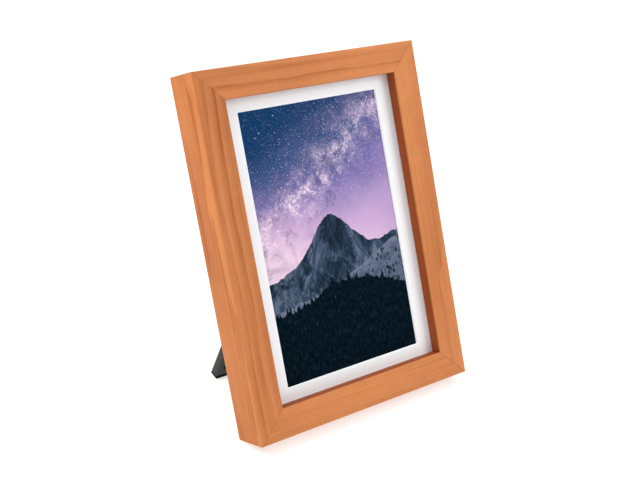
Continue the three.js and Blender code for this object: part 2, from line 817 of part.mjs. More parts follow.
function batterySocket() {
  const inside = PLUG.width / 2 + GAP;
  const outside = inside + PLUG_SOCKET.wall;
  return cut(
    block(
      PLUG.x - outside,
      PLUG.x + outside,
      partsFront,
      plugBack + GAP,
      boardBottom + PLUG_SOCKET.from,
      boardBottom + PLUG_SOCKET.to,
    ),
    block(
      PLUG.x - inside,
      PLUG.x + inside,
      plugFront - GAP,
      plugBack + PAST,
      boardBottom - PAST,
      plugTop + GAP,
    ),
  );
}
add(frame, "battery_socket", batterySocket(), materials.ivory);
add(
  frame,
  "battery_plug",
  block(
    PLUG.x - PLUG.width / 2,
    PLUG.x + PLUG.width / 2,
    plugFront,
    plugBack,
    plugBottom,
    plugTop,
  ),
  materials.ivory,
);

// One wire of the lead: out of the cell's top edge, back and up into the plug
function batteryWire(side) {
  const cellX = PLUG.x + (side * WIRE_PITCH_AT_CELL) / 2;
  const cellY = (batteryFront + batteryBack) / 2;
  const plugWireX = PLUG.x + (side * WIRE_PITCH_AT_PLUG) / 2;
  const plugY = (plugFront + plugBack) / 2;
  const from = batteryTop + GAP;
  const to = plugBottom - GAP;
  const rise = to - from;
  const route = new THREE.CatmullRomCurve3([
    new THREE.Vector3(cellX, cellY, from),
    new THREE.Vector3(cellX, cellY, from + 0.2 * rise),
    new THREE.Vector3((cellX + plugWireX) / 2, (cellY + plugY) / 2, from + 0.5 * rise),
    new THREE.Vector3(plugWireX, plugY, from + 0.8 * rise),
    new THREE.Vector3(plugWireX, plugY, to),
  ]);
  const section = new THREE.Shape().absarc(0, 0, WIRE_RADIUS, 0, 2 * Math.PI);
  return new THREE.ExtrudeGeometry(section, {
    steps: 12,
    extrudePath: route,
    curveSegments: 4,
    bevelEnabled: false,
  });
}
add(frame, "battery_wire_red", batteryWire(-1), materials.redWire);
add(frame, "battery_wire_black", batteryWire(1), materials.blackWire);

// ---- Buttons, power slider and light --------------------------------------------------------------------

const switchTop = partsFront + SWITCH_HEIGHT;
const nubEnd = switchTop - NUB_SUNK;
const flangeBack = coverInside - GAP;
const flangeFront = flangeBack - FLANGE_THICK;
const capTop = coverOutside + BUTTON_PROUD; // of the buttons and the slider

function tactSwitch(x) {
  const half = TACT_SWITCH_HALF;
  return cut(
    block(x - half, x + half, partsFront, switchTop, controlZ - half, controlZ + half),
    post(x, controlZ, nubEnd - BUTTON_TRAVEL - GAP, switchTop + PAST, NUB_RADIUS + SLIDE_GAP),
  );
}

// A cap with a flange inside the cover and a nub that works the switch; turned about y
function buttonCap(x) {
  const flange = BUTTON_RADIUS + BUTTON_FLANGE;
  const profile = [
    [0, nubEnd],
    [NUB_RADIUS, nubEnd],
    [NUB_RADIUS, flangeFront],
    [flange, flangeFront],
    [flange, flangeBack],
    [BUTTON_RADIUS, flangeBack],
    [BUTTON_RADIUS, capTop - BUTTON_EDGE],
    [BUTTON_RADIUS - BUTTON_EDGE, capTop],
    [0, capTop],
  ];
  return turned(profile, x, controlZ, ROUND);
}
buttonX.forEach((x, n) => {
  add(frame, "tact_switch_" + (n + 1), tactSwitch(x), materials.blackPlastic);
  add(frame, "button_" + (n + 1), buttonCap(x), materials.blackPlastic);
});

// The switch's slot takes the slider's pin over its whole travel
function slideSwitch() {
  const { halfWidth: across, halfHeight: up } = SLIDE_SWITCH;
  const slotHalf = (SLIDER_TRAVEL + SLIDER_PIN.width) / 2 + SLIDER_PIN.room;
  return cut(
    block(sliderX - across, sliderX + across, partsFront, switchTop, controlZ - up, controlZ + up),
    block(
      sliderX - slotHalf,
      sliderX + slotHalf,
      nubEnd - GAP,
      switchTop + PAST,
      controlZ - SLIDER_PIN.height / 2 - SLIDE_GAP,
      controlZ + SLIDER_PIN.height / 2 + SLIDE_GAP,
    ),
  );
}
add(frame, "power_switch_body", slideSwitch(), materials.steel);

// The slider rests at the left end of its travel
const sliderRest = sliderX - SLIDER_TRAVEL / 2;
function powerSlider() {
  // A box about the slider's middle, from y0 to y1
  const part = (width, height, y0, y1, x = sliderRest) =>
    block(x - width / 2, x + width / 2, y0, y1, controlZ - height / 2, controlZ + height / 2);
  const flangeWidth = SLIDER_WIDTH + SLIDER_TRAVEL + 2 * SLIDER_FLANGE;
  const knob = part(SLIDER_WIDTH, SLIDER_HEIGHT, flangeBack - SUNK, capTop);
  const flange = part(flangeWidth, SLIDER_HEIGHT + 2, flangeFront, flangeBack);
  const pin = part(SLIDER_PIN.width, SLIDER_PIN.height, nubEnd, flangeFront + SUNK);
  const grooves = [-1, 0, 1].map((n) =>
    part(
      SLIDER_GROOVE.width,
      SLIDER_HEIGHT + 2 * PAST,
      capTop - SLIDER_GROOVE.depth,
      capTop + PAST,
      sliderRest + n * SLIDER_GROOVE.pitch,
    ),
  );
  return cut(join(knob, flange, pin), ...grooves);
}
add(frame, "power_slider", powerSlider(), materials.blackPlastic);

add(
  frame,
  "status_led",
  block(
    ledX - LED.width / 2,
    ledX + LED.width / 2,
    partsFront,
    partsFront + LED.thick,
    controlZ - LED.height / 2,
    controlZ + LED.height / 2,
  ),
  materials.ivory,
);
add(
  frame,
  "light_pipe",
  join(
    rod(
      ledX,
      controlZ,
      partsFront + LED.thick + GAP,
      coverOutside + LIGHT_PIPE_PROUD,
      LIGHT_PIPE_RADIUS,
    ),
    rod(ledX, controlZ, flangeFront, flangeBack, LIGHT_PIPE_RADIUS + LIGHT_PIPE_FLANGE),
  ),
  materials.clear,
);

// ---- Rear cover -----------------------------------------------------------------------------------------

const bracketScrews = [-1, 1].flatMap((side) => [
  [side * BRACKET_SCREW_X, hingeZ + BRACKET_ABOVE - BRACKET_SCREW_FROM_TOP],
  [side * BRACKET_SCREW_X, hingeZ - BRACKET_BELOW + BRACKET_SCREW_FROM_BOTTOM],
]);
const columnX = trayHalf - COLUMN_FROM_SIDE;
const columnZ = [
  trayBottom + COLUMN_FROM_END,
  batteryTop + COLUMN_ABOVE_BATTERY,
  trayTop - COLUMN_FROM_END,
];

// The rib that locates the cover in the rebate
function coverRib() {
  const end = coverInside - RIB_DEPTH;
  return cut(
    block(-trayHalf, trayHalf, end, coverInside + SUNK, trayBottom, trayTop),
    block(
      -trayHalf + RIB_THICK,
      trayHalf - RIB_THICK,
      end - PAST,
      coverInside + PAST,
      trayBottom + RIB_THICK,
      trayTop - RIB_THICK,
    ),
  );
}

function rearCover() {
  const plate = slab(
    rectangle(-coverHalf, coverHalf, coverBottom, coverTop, COVER_CORNER),
    coverInside,
    coverOutside,
  );
  const bay = block(
    bayLeft - BAY_WALL,
    bayRight + BAY_WALL,
    bayFloorFront,
    coverInside + SUNK,
    bayBottom - BAY_WALL,
    bayTop + BAY_WALL,
  );
  const bosses = bracketScrews.map(([x, z]) =>
    post(x, z, coverInside - BOSS_DEPTH, coverInside + SUNK, POST_RADIUS),
  );
  const columns = [-1, 1].flatMap((side) =>
    columnZ.map((z) => post(side * columnX, z, trayBack + GAP, coverInside + SUNK, COLUMN_RADIUS)),
  );
  const cutFrom = coverInside - PAST;
  const cutTo = coverOutside + PAST;
  const buttonHoles = buttonX.map((x) =>
    rod(x, controlZ, cutFrom, cutTo, BUTTON_RADIUS + SLIDE_GAP),
  );
  const bracketScrewHoles = bracketScrews.map(([x, z]) =>
    post(x, z, coverInside - BOSS_DEPTH - PAST, cutTo, BRACKET_SCREW.shank + GAP),
  );
  const coverScrewSinks = coverScrews.flatMap(([x, z]) => [
    post(x, z, cutFrom, cutTo, COVER_SCREW.shank + GAP),
    countersink(x, z, coverOutside, COVER_SCREW),
  ]);
  const sliderSlotHalf = (SLIDER_TRAVEL + SLIDER_WIDTH) / 2 + SLIDE_GAP;
  return cut(
    join(plate, coverRib(), bay, ...bosses, ...columns),
    block(bayLeft, bayRight, bayFloor, cutTo, bayBottom, bayTop),
    block(
      usbX - USB_WIDTH / 2 - GAP,
      usbX + USB_WIDTH / 2 + GAP,
      usbY - USB_HEIGHT / 2 - GAP,
      usbY + USB_HEIGHT / 2 + GAP,
      bayTop - PAST,
      bayTop + BAY_WALL + PAST,
    ),
    block(
      cardX - CARD_WIDTH / 2 - 2 * SLIDE_GAP,
      cardX + CARD_WIDTH / 2 + 2 * SLIDE_GAP,
      cardY - CARD_THICK / 2 - 2 * SLIDE_GAP,
      cardY + CARD_THICK / 2 + 2 * SLIDE_GAP,
      bayTop - PAST,
      bayTop + BAY_WALL + PAST,
    ),
    block(
      sliderX - sliderSlotHalf,
      sliderX + sliderSlotHalf,
      cutFrom,
      cutTo,
      controlZ - SLIDER_HEIGHT / 2 - SLIDE_GAP,
      controlZ + SLIDER_HEIGHT / 2 + SLIDE_GAP,
    ),
    rod(ledX, controlZ, cutFrom, cutTo, LIGHT_PIPE_RADIUS + GAP),
    ...buttonHoles,
    ...bracketScrewHoles,
    ...coverScrewSinks,
  );
}

// The cone that a countersunk head needs, with GAP around the head
function countersink(x, z, surface, screw) {
  return rod(
    x,
    z,
    surface - screw.headDepth - GAP,
    surface + GAP,
    screw.shank + GAP,
    screw.head + 2 * GAP,
    SMALL,
  );
}
add(frame, "rear_cover", rearCover(), materials.blackPlastic);

// ---- Screws ---------------------------------------------------------------------------------------------

// A cross recess in a screw head whose top is at y
function crossRecess(x, z, y, reach, depth) {
  const half = CROSS_WIDTH / 2;
  return [
    block(x - reach, x + reach, y - depth, y + PAST, z - half, z + half),
    block(x - half, x + half, y - depth, y + PAST, z - reach, z + reach),
  ];
}

// A countersunk screw driven from the back, with a pointed end
function countersunkScrew(x, z, surface, screw) {
  const top = surface - HEAD_SUNK;
  const neck = top - screw.headDepth;
  const end = surface - screw.length;
  const profile = [
    [0, end],
    [screw.shank, end + 1.5 * screw.shank],
    [screw.shank, neck],
    [screw.head, top],
    [0, top],
  ];
  const recess = crossRecess(x, z, top, 0.65 * screw.head, 0.7 * screw.headDepth);
  return cut(turned(profile, x, z, SMALL), ...recess);
}

coverScrews.forEach(([x, z], n) => {
  add(
    frame,
    "cover_screw_" + (n + 1),
    countersunkScrew(x, z, coverOutside, COVER_SCREW),
    materials.screw,
  );
});

// A round-headed screw through the control board
function boardScrew(x, z) {
  const { head, headHeight, shank, point } = BOARD_SCREW;
  const under = boardBack + GAP;
  const top = under + headHeight;
  const profile = [
    [0, boardScrewEnd],
    [shank, boardScrewEnd + point],
    [shank, under],
    [head, under],
    [head, top - 0.25 * headHeight],
    [0.79 * head, top],
    [0, top],
  ];
  const recess = crossRecess(x, z, top, 0.63 * head, 0.6 * headHeight);
  return cut(turned(profile, x, z, SMALL), ...recess);
}
boardScrews.forEach(([x, z], n) => {
  add(frame, "board_screw_" + (n + 1), boardScrew(x, z), materials.steel);
});

// ---- Hinge bracket and pin ------------------------------------------------------------------------------

function hingeBracket() {
  const outline = rectangle(
    -bracketHalf,
    bracketHalf,
    hingeZ - BRACKET_BELOW,
    hingeZ + BRACKET_ABOVE,
    BRACKET_CORNER,
  );
  const plate = slab(outline, bracketFront, bracketBack);
  const ear = new THREE.Shape(); // drawn in y and z
  const foot = knuckleRadius + EAR_FOOT;
  ear.moveTo(bracketBack - SUNK, hingeZ - foot);
  ear.absarc(hingeY, hingeZ, knuckleRadius, -Math.PI / 2, Math.PI / 2);
  ear.lineTo(bracketBack - SUNK, hingeZ + foot);
  const ears = [bar(ear, -bracketHalf, -earInside), bar(ear, earInside, bracketHalf)];
  const pinHole = crossRod(2 * (bracketHalf + PAST), PIN_RADIUS + GAP).translate(0, hingeY, hingeZ);
  const sinks = bracketScrews.flatMap(([x, z]) => [
    post(x, z, bracketFront - PAST, bracketBack + PAST, BRACKET_SCREW.shank + GAP),
    countersink(x, z, bracketBack, BRACKET_SCREW),
  ]);
  return cut(join(plate, ...ears), pinHole, ...sinks);
}
add(frame, "hinge_bracket", hingeBracket(), materials.blackPlastic);

bracketScrews.forEach(([x, z], n) => {
  add(
    frame,
    "bracket_screw_" + (n + 1),
    countersunkScrew(x, z, bracketBack, BRACKET_SCREW),
    materials.screw,
  );
});

// The pin has a thin head outside each ear
function hingePin() {
  const head = PIN_RADIUS + PIN_HEAD.beyond;
  const inner = bracketHalf + GAP;
  const end = inner + PIN_HEAD.thick;
  const profile = [
    [0, -end],
    [head, -end],
    [head, -inner],
    [PIN_RADIUS, -inner],
    [PIN_RADIUS, inner],
    [head, inner],
    [head, end],
    [0, end],
  ];
  return turned(profile, 0, 0, ROUND)
    .rotateZ(-Math.PI / 2)
    .translate(0, hingeY, hingeZ);
}
add(frame, "hinge_pin", hingePin(), materials.steel);

// ---- Easel leg ------------------------------------------------------------------------------------------

// Modelled folded flat, with the hinge axis through its origin: x across, y through its thickness with the
// frame's side at -y, z up. The group opens it.
const leg = new THREE.Group();
leg.position.set(0, hingeY, hingeZ);
leg.rotation.x = LEG_OPEN;
frame.add(leg);

const legFront = -LEG_THICK / 2;
const legBack = LEG_THICK / 2;
const stripTop = -legLength + FOOT_STRIP; // top of the rubber strip on the foot
const neckTop = -knuckleRadius - LEG_NECK_DROP;
const neckBottom = neckTop - LEG_NECK_LENGTH;
const flare = (LEG_FOOT_WIDTH - LEG_NECK_WIDTH) / 2 / (legLength + neckBottom);
const halfLegAt = (z) => LEG_NECK_WIDTH / 2 + flare * (neckBottom - z);

function legOutline(bottom) {
  const head = LEG_HEAD_WIDTH / 2;
  return polygon([
    [-halfLegAt(bottom), bottom],
    [halfLegAt(bottom), bottom],
    [LEG_NECK_WIDTH / 2, neckBottom],
    [head, neckTop],
    [head, 0],
    [-head, 0],
    [-head, neckTop],
    [-LEG_NECK_WIDTH / 2, neckBottom],
  ]);
}

// The heel above the axis, cut back so that it meets the bracket when the leg is open
function legHeel() {
  const clear = bracketBack + GAP - hingeY; // in the frame's y, from the axis
  const cutAt = (z) => (clear + z * Math.sin(LEG_OPEN)) / Math.cos(LEG_OPEN);
  const cornerZ = (legFront * Math.cos(LEG_OPEN) - clear) / Math.sin(LEG_OPEN);
  const shape = polygon([
    [legFront, -PAST],
    [legBack, -PAST],
    [legBack, LEG_HEEL],
    [cutAt(LEG_HEEL), LEG_HEEL],
    [legFront, cornerZ],
  ]);
  return bar(shape, -LEG_HEAD_WIDTH / 2, LEG_HEAD_WIDTH / 2);
}

// Pockets in the side that faces the frame, between ribs: three across in each row
function legPockets() {
  const top = neckBottom - 2 * LEG_RIB;
  const bottom = stripTop + 2 * LEG_RIB;
  const pitch = (top - bottom) / LEG_POCKET_ROWS;
  const middleHalf = LEG_NECK_WIDTH / 6;
  const insideAt = (z) => halfLegAt(z) - 2 * LEG_RIB;
  const pockets = [];
  for (let row = 0; row < LEG_POCKET_ROWS; row++) {
    const z1 = top - row * pitch - LEG_RIB / 2;
    const z0 = top - (row + 1) * pitch + LEG_RIB / 2;
    const middle = [
      [-middleHalf, z0],
      [middleHalf, z0],
      [middleHalf, z1],
      [-middleHalf, z1],
    ];
    const right = [
      [middleHalf + LEG_RIB, z0],
      [insideAt(z0), z0],
      [insideAt(z1), z1],
      [middleHalf + LEG_RIB, z1],
    ];
    const left = right.map(([x, z]) => [-x, z]).reverse();
    for (const points of [left, middle, right]) {
      pockets.push(slab(polygon(points), legFront - PAST, legBack - LEG_SKIN));
    }
  }
  return pockets;
}

function easelLeg() {
  const plate = slab(legOutline(stripTop + GAP), legFront, legBack);
  const knuckle = crossRod(LEG_HEAD_WIDTH, knuckleRadius);
  const pinHole = crossRod(LEG_HEAD_WIDTH + 2 * PAST, PIN_RADIUS + SLIDE_GAP);
  return cut(join(plate, legHeel(), knuckle), pinHole, ...legPockets());
}
add(leg, "easel_leg", easelLeg(), materials.blackPlastic);

// The rubber strip on the foot, with rounded corners and a facet that lies flat on the table
function footStrip() {
  const half = LEG_FOOT_WIDTH / 2;
  const r = Math.min(FOOT_CORNER, 0.8 * FOOT_STRIP); // the corners stay within the strip
  const outline = new THREE.Shape(); // drawn in x and z
  outline.moveTo(-halfLegAt(stripTop), stripTop);
  outline.lineTo(-half, -legLength + r);
  outline.absarc(-half + r, -legLength + r, r, Math.PI, 1.5 * Math.PI);
  outline.lineTo(half - r, -legLength);
  outline.absarc(half - r, -legLength + r, r, 1.5 * Math.PI, 2 * Math.PI);
  outline.lineTo(halfLegAt(stripTop), stripTop);
  const slope = Math.tan(LEG_OPEN - LEAN); // of the table, as the leg sees it
  const rise = FOOT_CHAMFER * slope;
  const corner = bar(
    polygon([
      [legFront - PAST, -legLength - PAST],
      [legFront + FOOT_CHAMFER + PAST / slope, -legLength - PAST],
      [legFront + FOOT_CHAMFER, -legLength],
      [legFront, -legLength + rise],
      [legFront - PAST, -legLength + rise + PAST * slope],
    ]),
    -half - PAST,
    half + PAST,
  );
  return cut(slab(outline, legFront, legBack), corner);
}
add(leg, "leg_foot_strip", footStrip(), materials.rubber);

// ---- Standing on the table, centred on its footprint ------------------------------------------------------

frame.position.z = contactY * Math.sin(LEAN);
const root = new THREE.Group();
root.add(frame);
root.updateMatrixWorld(true);
const extent = new THREE.Box3().setFromObject(root, true);
frame.position.y = -(extent.min.y + extent.max.y) / 2;

export default root;
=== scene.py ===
"""Looks for a digital photo frame: a mitred wooden frame round a matt electronic-paper picture, with an
easel leg.

Laid out as an add-on: settings that a user would change, one operator for each piece or group of like pieces,
a panel that lists them, and main(), which calls the operators in order. Lengths are in metres.
"""

import json
import math

import bmesh
import bpy
import numpy as np
from bpy.props import FloatProperty, FloatVectorProperty, PointerProperty
from bpy.types import Operator, Panel, PropertyGroup
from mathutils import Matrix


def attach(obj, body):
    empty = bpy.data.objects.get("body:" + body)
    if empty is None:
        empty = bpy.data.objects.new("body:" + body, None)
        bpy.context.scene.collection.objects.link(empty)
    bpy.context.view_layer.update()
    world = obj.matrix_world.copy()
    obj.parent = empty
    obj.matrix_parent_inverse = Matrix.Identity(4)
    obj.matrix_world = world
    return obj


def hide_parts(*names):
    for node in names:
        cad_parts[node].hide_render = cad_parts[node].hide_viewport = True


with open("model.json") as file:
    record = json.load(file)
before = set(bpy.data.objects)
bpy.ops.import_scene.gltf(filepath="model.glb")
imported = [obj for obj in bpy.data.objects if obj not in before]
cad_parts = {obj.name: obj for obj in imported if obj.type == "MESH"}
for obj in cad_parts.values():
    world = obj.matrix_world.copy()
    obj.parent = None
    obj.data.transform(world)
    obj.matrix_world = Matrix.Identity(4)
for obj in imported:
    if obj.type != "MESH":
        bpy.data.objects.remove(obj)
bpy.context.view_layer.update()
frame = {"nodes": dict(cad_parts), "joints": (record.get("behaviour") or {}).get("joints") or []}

bl_info = {
    "name": "Digital photo frame",
    "version": (1, 0, 0),
    "blender": (4, 5, 0),
    "location": "3D View > Sidebar > Photo frame",
    "description": "Builds the visible pieces, finishes and studio of a digital photo frame",
    "category": "Add Mesh",
}

MM = 0.001

# ---- Places read from the frame ---------------------------------------------------------------------------


def joint(name):
    """The record's entry for one joint."""
    return next(j for j in frame["joints"] if j["name"] == name)


PRESS = joint("button_left_press")["axis"]  # from the back of the frame to its front
LEAN = math.atan2(PRESS[2], -PRESS[1])
LEG_OPEN = math.radians(joint("leg_hinge")["range_deg"][1])
HINGE = np.array(joint("leg_hinge")["pos_m"])


def tilted(points, angle):
    """Points turned about the X axis: y and z become y cos a - z sin a and y sin a + z cos a."""
    x, y, z = np.asarray(points, float).T
    return np.stack(
        [x, y * math.cos(angle) - z * math.sin(angle), y * math.sin(angle) + z * math.cos(angle)], 1
    )


def leaned_box(node, angle=-LEAN):
    """Lowest and highest corner of a CAD node in coordinates that lean with it: across, depth and up."""
    mesh = frame["nodes"][node].data
    points = np.empty(len(mesh.vertices) * 3)
    mesh.vertices.foreach_get("co", points)
    local = tilted(points.reshape(-1, 3), -angle)
    return local.min(0), local.max(0)


def middle_of(node):
    """Middle of a CAD node's leaned box."""
    return sum(leaned_box(node)) / 2


LEFT_RAIL = leaned_box("frame_rail_left")
RIGHT_RAIL = leaned_box("frame_rail_right")
FRONT, BACK = LEFT_RAIL[0][1], LEFT_RAIL[1][1]
HALF_WIDTH = RIGHT_RAIL[1][0]
FACE_WIDTH = LEFT_RAIL[1][0] - LEFT_RAIL[0][0]
MITRE_ROOM = 0.15 * MM  # the CAD rails stop this far short of the corners
BOTTOM, TOP = LEFT_RAIL[0][2] - MITRE_ROOM, LEFT_RAIL[1][2] + MITRE_ROOM
MIDDLE = (BOTTOM + TOP) / 2
COVER = leaned_box("rear_cover")
COVER_OUTSIDE = COVER[1][1]
HINGE_LEANED = tilted([HINGE], LEAN)[0]

# ---- Sizes of the design that no box gives ----------------------------------------------------------------

GAP = 0.3 * MM  # clearance between pieces that lie close together
PAST = 1 * MM  # how far a cut runs past its piece
COVER_THICK = 2.4 * MM
COVER_INSIDE = COVER_OUTSIDE - COVER_THICK
REBATE_SIDE = 6.2 * MM  # from the cover's edge to the rib inside it
RIB_THICK = 1.6 * MM
RIB_DEEP = 4.3 * MM
BAY_WALL = 1.6 * MM
BAY_HEIGHT = 38 * MM
USB_FROM_BAY_SIDE = 6 * MM
CARD_FROM_BAY_SIDE = 8.2 * MM
SOCKET_ROOM = 0.4 * MM
BUTTON_RADIUS = 3 * MM
NUB_RADIUS = 1.3 * MM
FLANGE_THICK = 1.3 * MM
SLIDER_HALF = (2.1 * MM, 1.4 * MM)
SLIDER_PIN_HALF = (0.8 * MM, 0.6 * MM)
SLIDER_TRAVEL = 3 * MM
LIGHT_RADIUS = 1.1 * MM
USB_HALF = (4.5 * MM, 1.6 * MM)
CARD_HALF = (5.5 * MM, 0.5 * MM)
SCREW_CONES = {"cover": 1.4 * MM, "bracket": 1.1 * MM}
BRACKET_THICK = 1.6 * MM
EAR_THICK = 4.5 * MM
EAR_FOOT = 7.2 * MM  # half height of an ear where it meets the plate
PIN_RADIUS = 1.5 * MM
KNUCKLE_RADIUS = 4 * MM
LEG_HALF_THICK = 3.3 * MM
LEG_HEAD = 16.7 * MM  # half width between the ears
LEG_NECK = 25 * MM  # half width below the shoulder
LEG_SHOULDER = 7 * MM  # shoulder below the hinge axis
LEG_SHOULDER_LENGTH = 8 * MM
FOOT_FACET = 0.8 * MM

# ---- Settings ---------------------------------------------------------------------------------------------


def colour_setting(name, description, default):
    """A colour that a user may change."""
    return FloatVectorProperty(
        name=name, description=description, default=default, subtype="COLOR", size=3, min=0.0, max=1.0
    )


def length_setting(name, description, default):
    """A length that a user may change."""
    return FloatProperty(name=name, description=description, default=default, unit="LENGTH", min=0.0)


class WoodSettings(PropertyGroup):
    """The stained hardwood of the four rails."""

    light: colour_setting("Early wood", "Colour of the wide pale bands of the grain", (0.628, 0.236, 0.086))
    dark: colour_setting("Late wood", "Colour of the narrow dark lines of the grain", (0.360, 0.102, 0.029))
    streak: colour_setting("Streak", "Colour of the few dark streaks along a rail", (0.24, 0.050, 0.011))
    # Inner wall: painted shade. The walls round the window get this dark colour to stand in for the shade
    # inside the recess.
    painted_wall_shade: colour_setting("Inner wall", "Colour of the walls round the window", (0.270, 0.042, 0.004))
    # Arris colour: mostly a painted highlight along the outer edges, partly thin stain where they are worn.
    wear_and_highlight: colour_setting("Arris highlight and wear", "Colour of the outer edges, thinly stained", (0.86, 0.47, 0.235))
    ring_spacing: length_setting("Ring spacing", "Distance between growth rings", 6.2 * MM)
    arris: length_setting("Arris radius", "Radius of the eased outer edges", 0.6 * MM)
    mitre_gap: length_setting("Mitre gap", "Open line at each corner joint", 0.16 * MM)
    lip: length_setting("Lip", "Depth of the lip that holds the mat", 7.9 * MM)
    wall: length_setting("Wall", "Wood left outside the rebate", 12 * MM)
    rim: length_setting("Rear rim", "Wood left outside the rear cover", 6 * MM)


class PictureSettings(PropertyGroup):
    """The mat and the picture that the display shows."""

    width: length_setting("Width", "Visible picture's width", 96 * MM)
    height: length_setting("Height", "Visible picture's height", 160 * MM)
    mat: colour_setting("Mat", "Colour of the mat board", (0.900, 0.925, 0.960))
    zenith: colour_setting("Zenith", "Sky at the top of the picture", (0.006, 0.046, 0.142))
    violet: colour_setting("Violet", "Sky half way down", (0.150, 0.135, 0.370))
    horizon: colour_setting("Horizon", "Sky above the mountains", (0.840, 0.630, 0.800))
    rock: colour_setting("Rock", "Mountain in shade", (0.024, 0.047, 0.084))
    snow: colour_setting("Snow", "Mountain under snow", (0.120, 0.155, 0.235))
    forest: colour_setting("Forest", "Trees in the foreground", (0.0006, 0.0050, 0.0105))


class MouldingSettings(PropertyGroup):
    """The moulded black plastic of the cover, the bracket and the leg."""

    plastic: colour_setting("Plastic", "Colour of the black plastic", (0.016, 0.016, 0.018))
    rubber: colour_setting("Rubber", "Colour of the foot", (0.010, 0.010, 0.011))
    edge: length_setting("Edge radius", "Radius of the moulded edges", 0.7 * MM)
    skin: length_setting("Skin", "Thickness of the leg's outer skin", 2.4 * MM)
    rib: length_setting("Rib", "Thickness of the leg's ribs", 1.8 * MM)


class StageSettings(PropertyGroup):
    """The floor, the lights and the camera."""

    floor: colour_setting("Floor", "Colour of the floor", (0.50, 0.50, 0.50))
    glow: FloatProperty(name="Glow", description="Light that the floor gives off", default=0.62, min=0.0)
    dome: FloatProperty(name="Dome", description="Strength of the white dome overhead", default=1.22, min=0.0)
    fill: FloatProperty(name="Fill", description="Even light from all round", default=0.10, min=0.0)
    key: FloatProperty(name="Key", description="Power of the front lamp", default=1.45, min=0.0, unit="POWER")
    side: FloatProperty(name="Side", description="Power of the left lamp", default=3.3, min=0.0, unit="POWER")
    lens: FloatProperty(name="Lens", description="Focal length in millimetres", default=58.33, min=1.0)


SETTINGS = {
    "frame_wood": WoodSettings,
    "frame_picture": PictureSettings,
    "frame_moulding": MouldingSettings,
    "frame_stage": StageSettings,
}

# ---- Surfaces ---------------------------------------------------------------------------------------------


def unit(vectors):
    """Rows scaled to length one."""
    return vectors / np.linalg.norm(vectors, axis=1, keepdims=True)


def rounded(corners, radii, steps=6):
    """Closed outline with round corners, counter-clockwise, as a function of how far it is moved inwards.
    Each corner slides along its bisector by the inset over the sine of its half angle, its radius shrinks
    by the inset, or grows where the corner turns inwards, and its arc touches both sides about a centre
    that lies radius / sine from it."""
    corner = np.asarray(corners, float)
    radius = np.broadcast_to(np.asarray(radii, float), len(corner))
    back = unit(np.roll(corner, 1, 0) - corner)
    ahead = unit(np.roll(corner, -1, 0) - corner)
    bisector = unit(back + ahead)
    convex = np.sign(back[:, 1] * ahead[:, 0] - back[:, 0] * ahead[:, 1])
    sine = np.abs(back[:, 0] * bisector[:, 1] - back[:, 1] * bisector[:, 0])
    first = np.arctan2(*(back * np.sqrt(1 - sine**2)[:, None] - bisector)[:, ::-1].T)
    last = np.arctan2(*(ahead * np.sqrt(1 - sine**2)[:, None] - bisector)[:, ::-1].T)
    sweep = (last - first + math.pi) % (2 * math.pi) - math.pi
    angle = first[:, None] + sweep[:, None] * np.linspace(0, 1, steps)
    spoke = np.stack([np.cos(angle), np.sin(angle)], 2)

    def outline(inset=0.0):
        left = np.maximum(radius - convex * inset, 0.0)
        middle = corner + bisector * ((convex * inset + left) / sine)[:, None]
        return (middle[:, None] + spoke * left[:, None, None]).reshape(-1, 2)

    return outline


def rectangle(half_across, half_up, radius, steps=6):
    """Rounded rectangle about the origin."""
    sides = ((-1, -1), (1, -1), (1, 1), (-1, 1))
    corners = [(half_across * x, half_up * z) for x, z in sides]
    return rounded(corners, radius, steps)


def circle(radius, sides=48):
    """Circle about the origin, as a function of how far it is moved inwards."""
    angle = np.linspace(0, 2 * math.pi, sides, endpoint=False)
    spoke = np.stack([np.cos(angle), np.sin(angle)], 1)
    return lambda inset=0.0: spoke * (radius - inset)


def eased(low, high, radius, steps=4):
    """Profile of a slab from depth low to depth high with a quarter round of this radius at both rims, as
    rows of (inset, depth): radius - radius sin a, low + radius - radius cos a, and the mirror of that."""
    angle = np.linspace(0, math.pi / 2, steps)
    inset = radius * (1 - np.sin(angle))
    rise = radius * (1 - np.cos(angle))
    near = np.stack([inset, low + rise], 1)
    far = np.stack([inset, high - rise], 1)[::-1]
    return np.concatenate([near, far])


def slab_surface(outline, profile):
    """Vertices and faces of an outline carried along a profile of (inset, depth): each row of the grid is the
    outline moved inwards by its inset, at its depth, and the first and last rows are closed by flat caps."""
    flat = np.stack([outline(inset) for inset, _ in profile])
    depth = np.broadcast_to(np.array([deep for _, deep in profile])[:, None], flat.shape[:2])
    points = np.stack([flat[:, :, 0], depth, flat[:, :, 1]], 2).reshape(-1, 3)
    return points, ring_faces(*flat.shape[:2])


def ring_faces(rows, columns, capped=True):
    """Quads of a grid that closes on itself round each row, with a cap on its first and last rows."""
    index = np.arange(rows * columns).reshape(rows, columns)
    beside = np.roll(index, -1, 1)
    quads = np.stack([index[:-1], beside[:-1], beside[1:], index[1:]], 2).reshape(-1, 4)
    faces = quads.tolist()
    if capped:
        faces += [index[0][::-1].tolist(), index[-1].tolist()]
    return faces


def moved(surface, across=0.0, depth=0.0, up=0.0):
    """A surface shifted within the leaned coordinates."""
    points, faces = surface
    return points + np.array([across, depth, up]), faces


def crosswise(surface):
    """A surface whose depth becomes its place across: (x, y, z) goes to (y, -x, z)."""
    points, faces = surface
    return np.stack([points[:, 1], -points[:, 0], points[:, 2]], 1), faces


def carried_across(surface, depth=0.0, up=0.0):
    """A surface drawn in depth and up and carried across: (x, y, z) goes to (y, x, z), then shifts."""
    points, faces = surface
    return np.stack([points[:, 1], points[:, 0] + depth, points[:, 2] + up], 1), faces


def spun(surface, angle):
    """A surface turned about the depth axis."""
    points, faces = surface
    x, y, z = points.T
    turned_x = x * math.cos(angle) - z * math.sin(angle)
    turned_z = x * math.sin(angle) + z * math.cos(angle)
    return np.stack([turned_x, y, turned_z], 1), faces


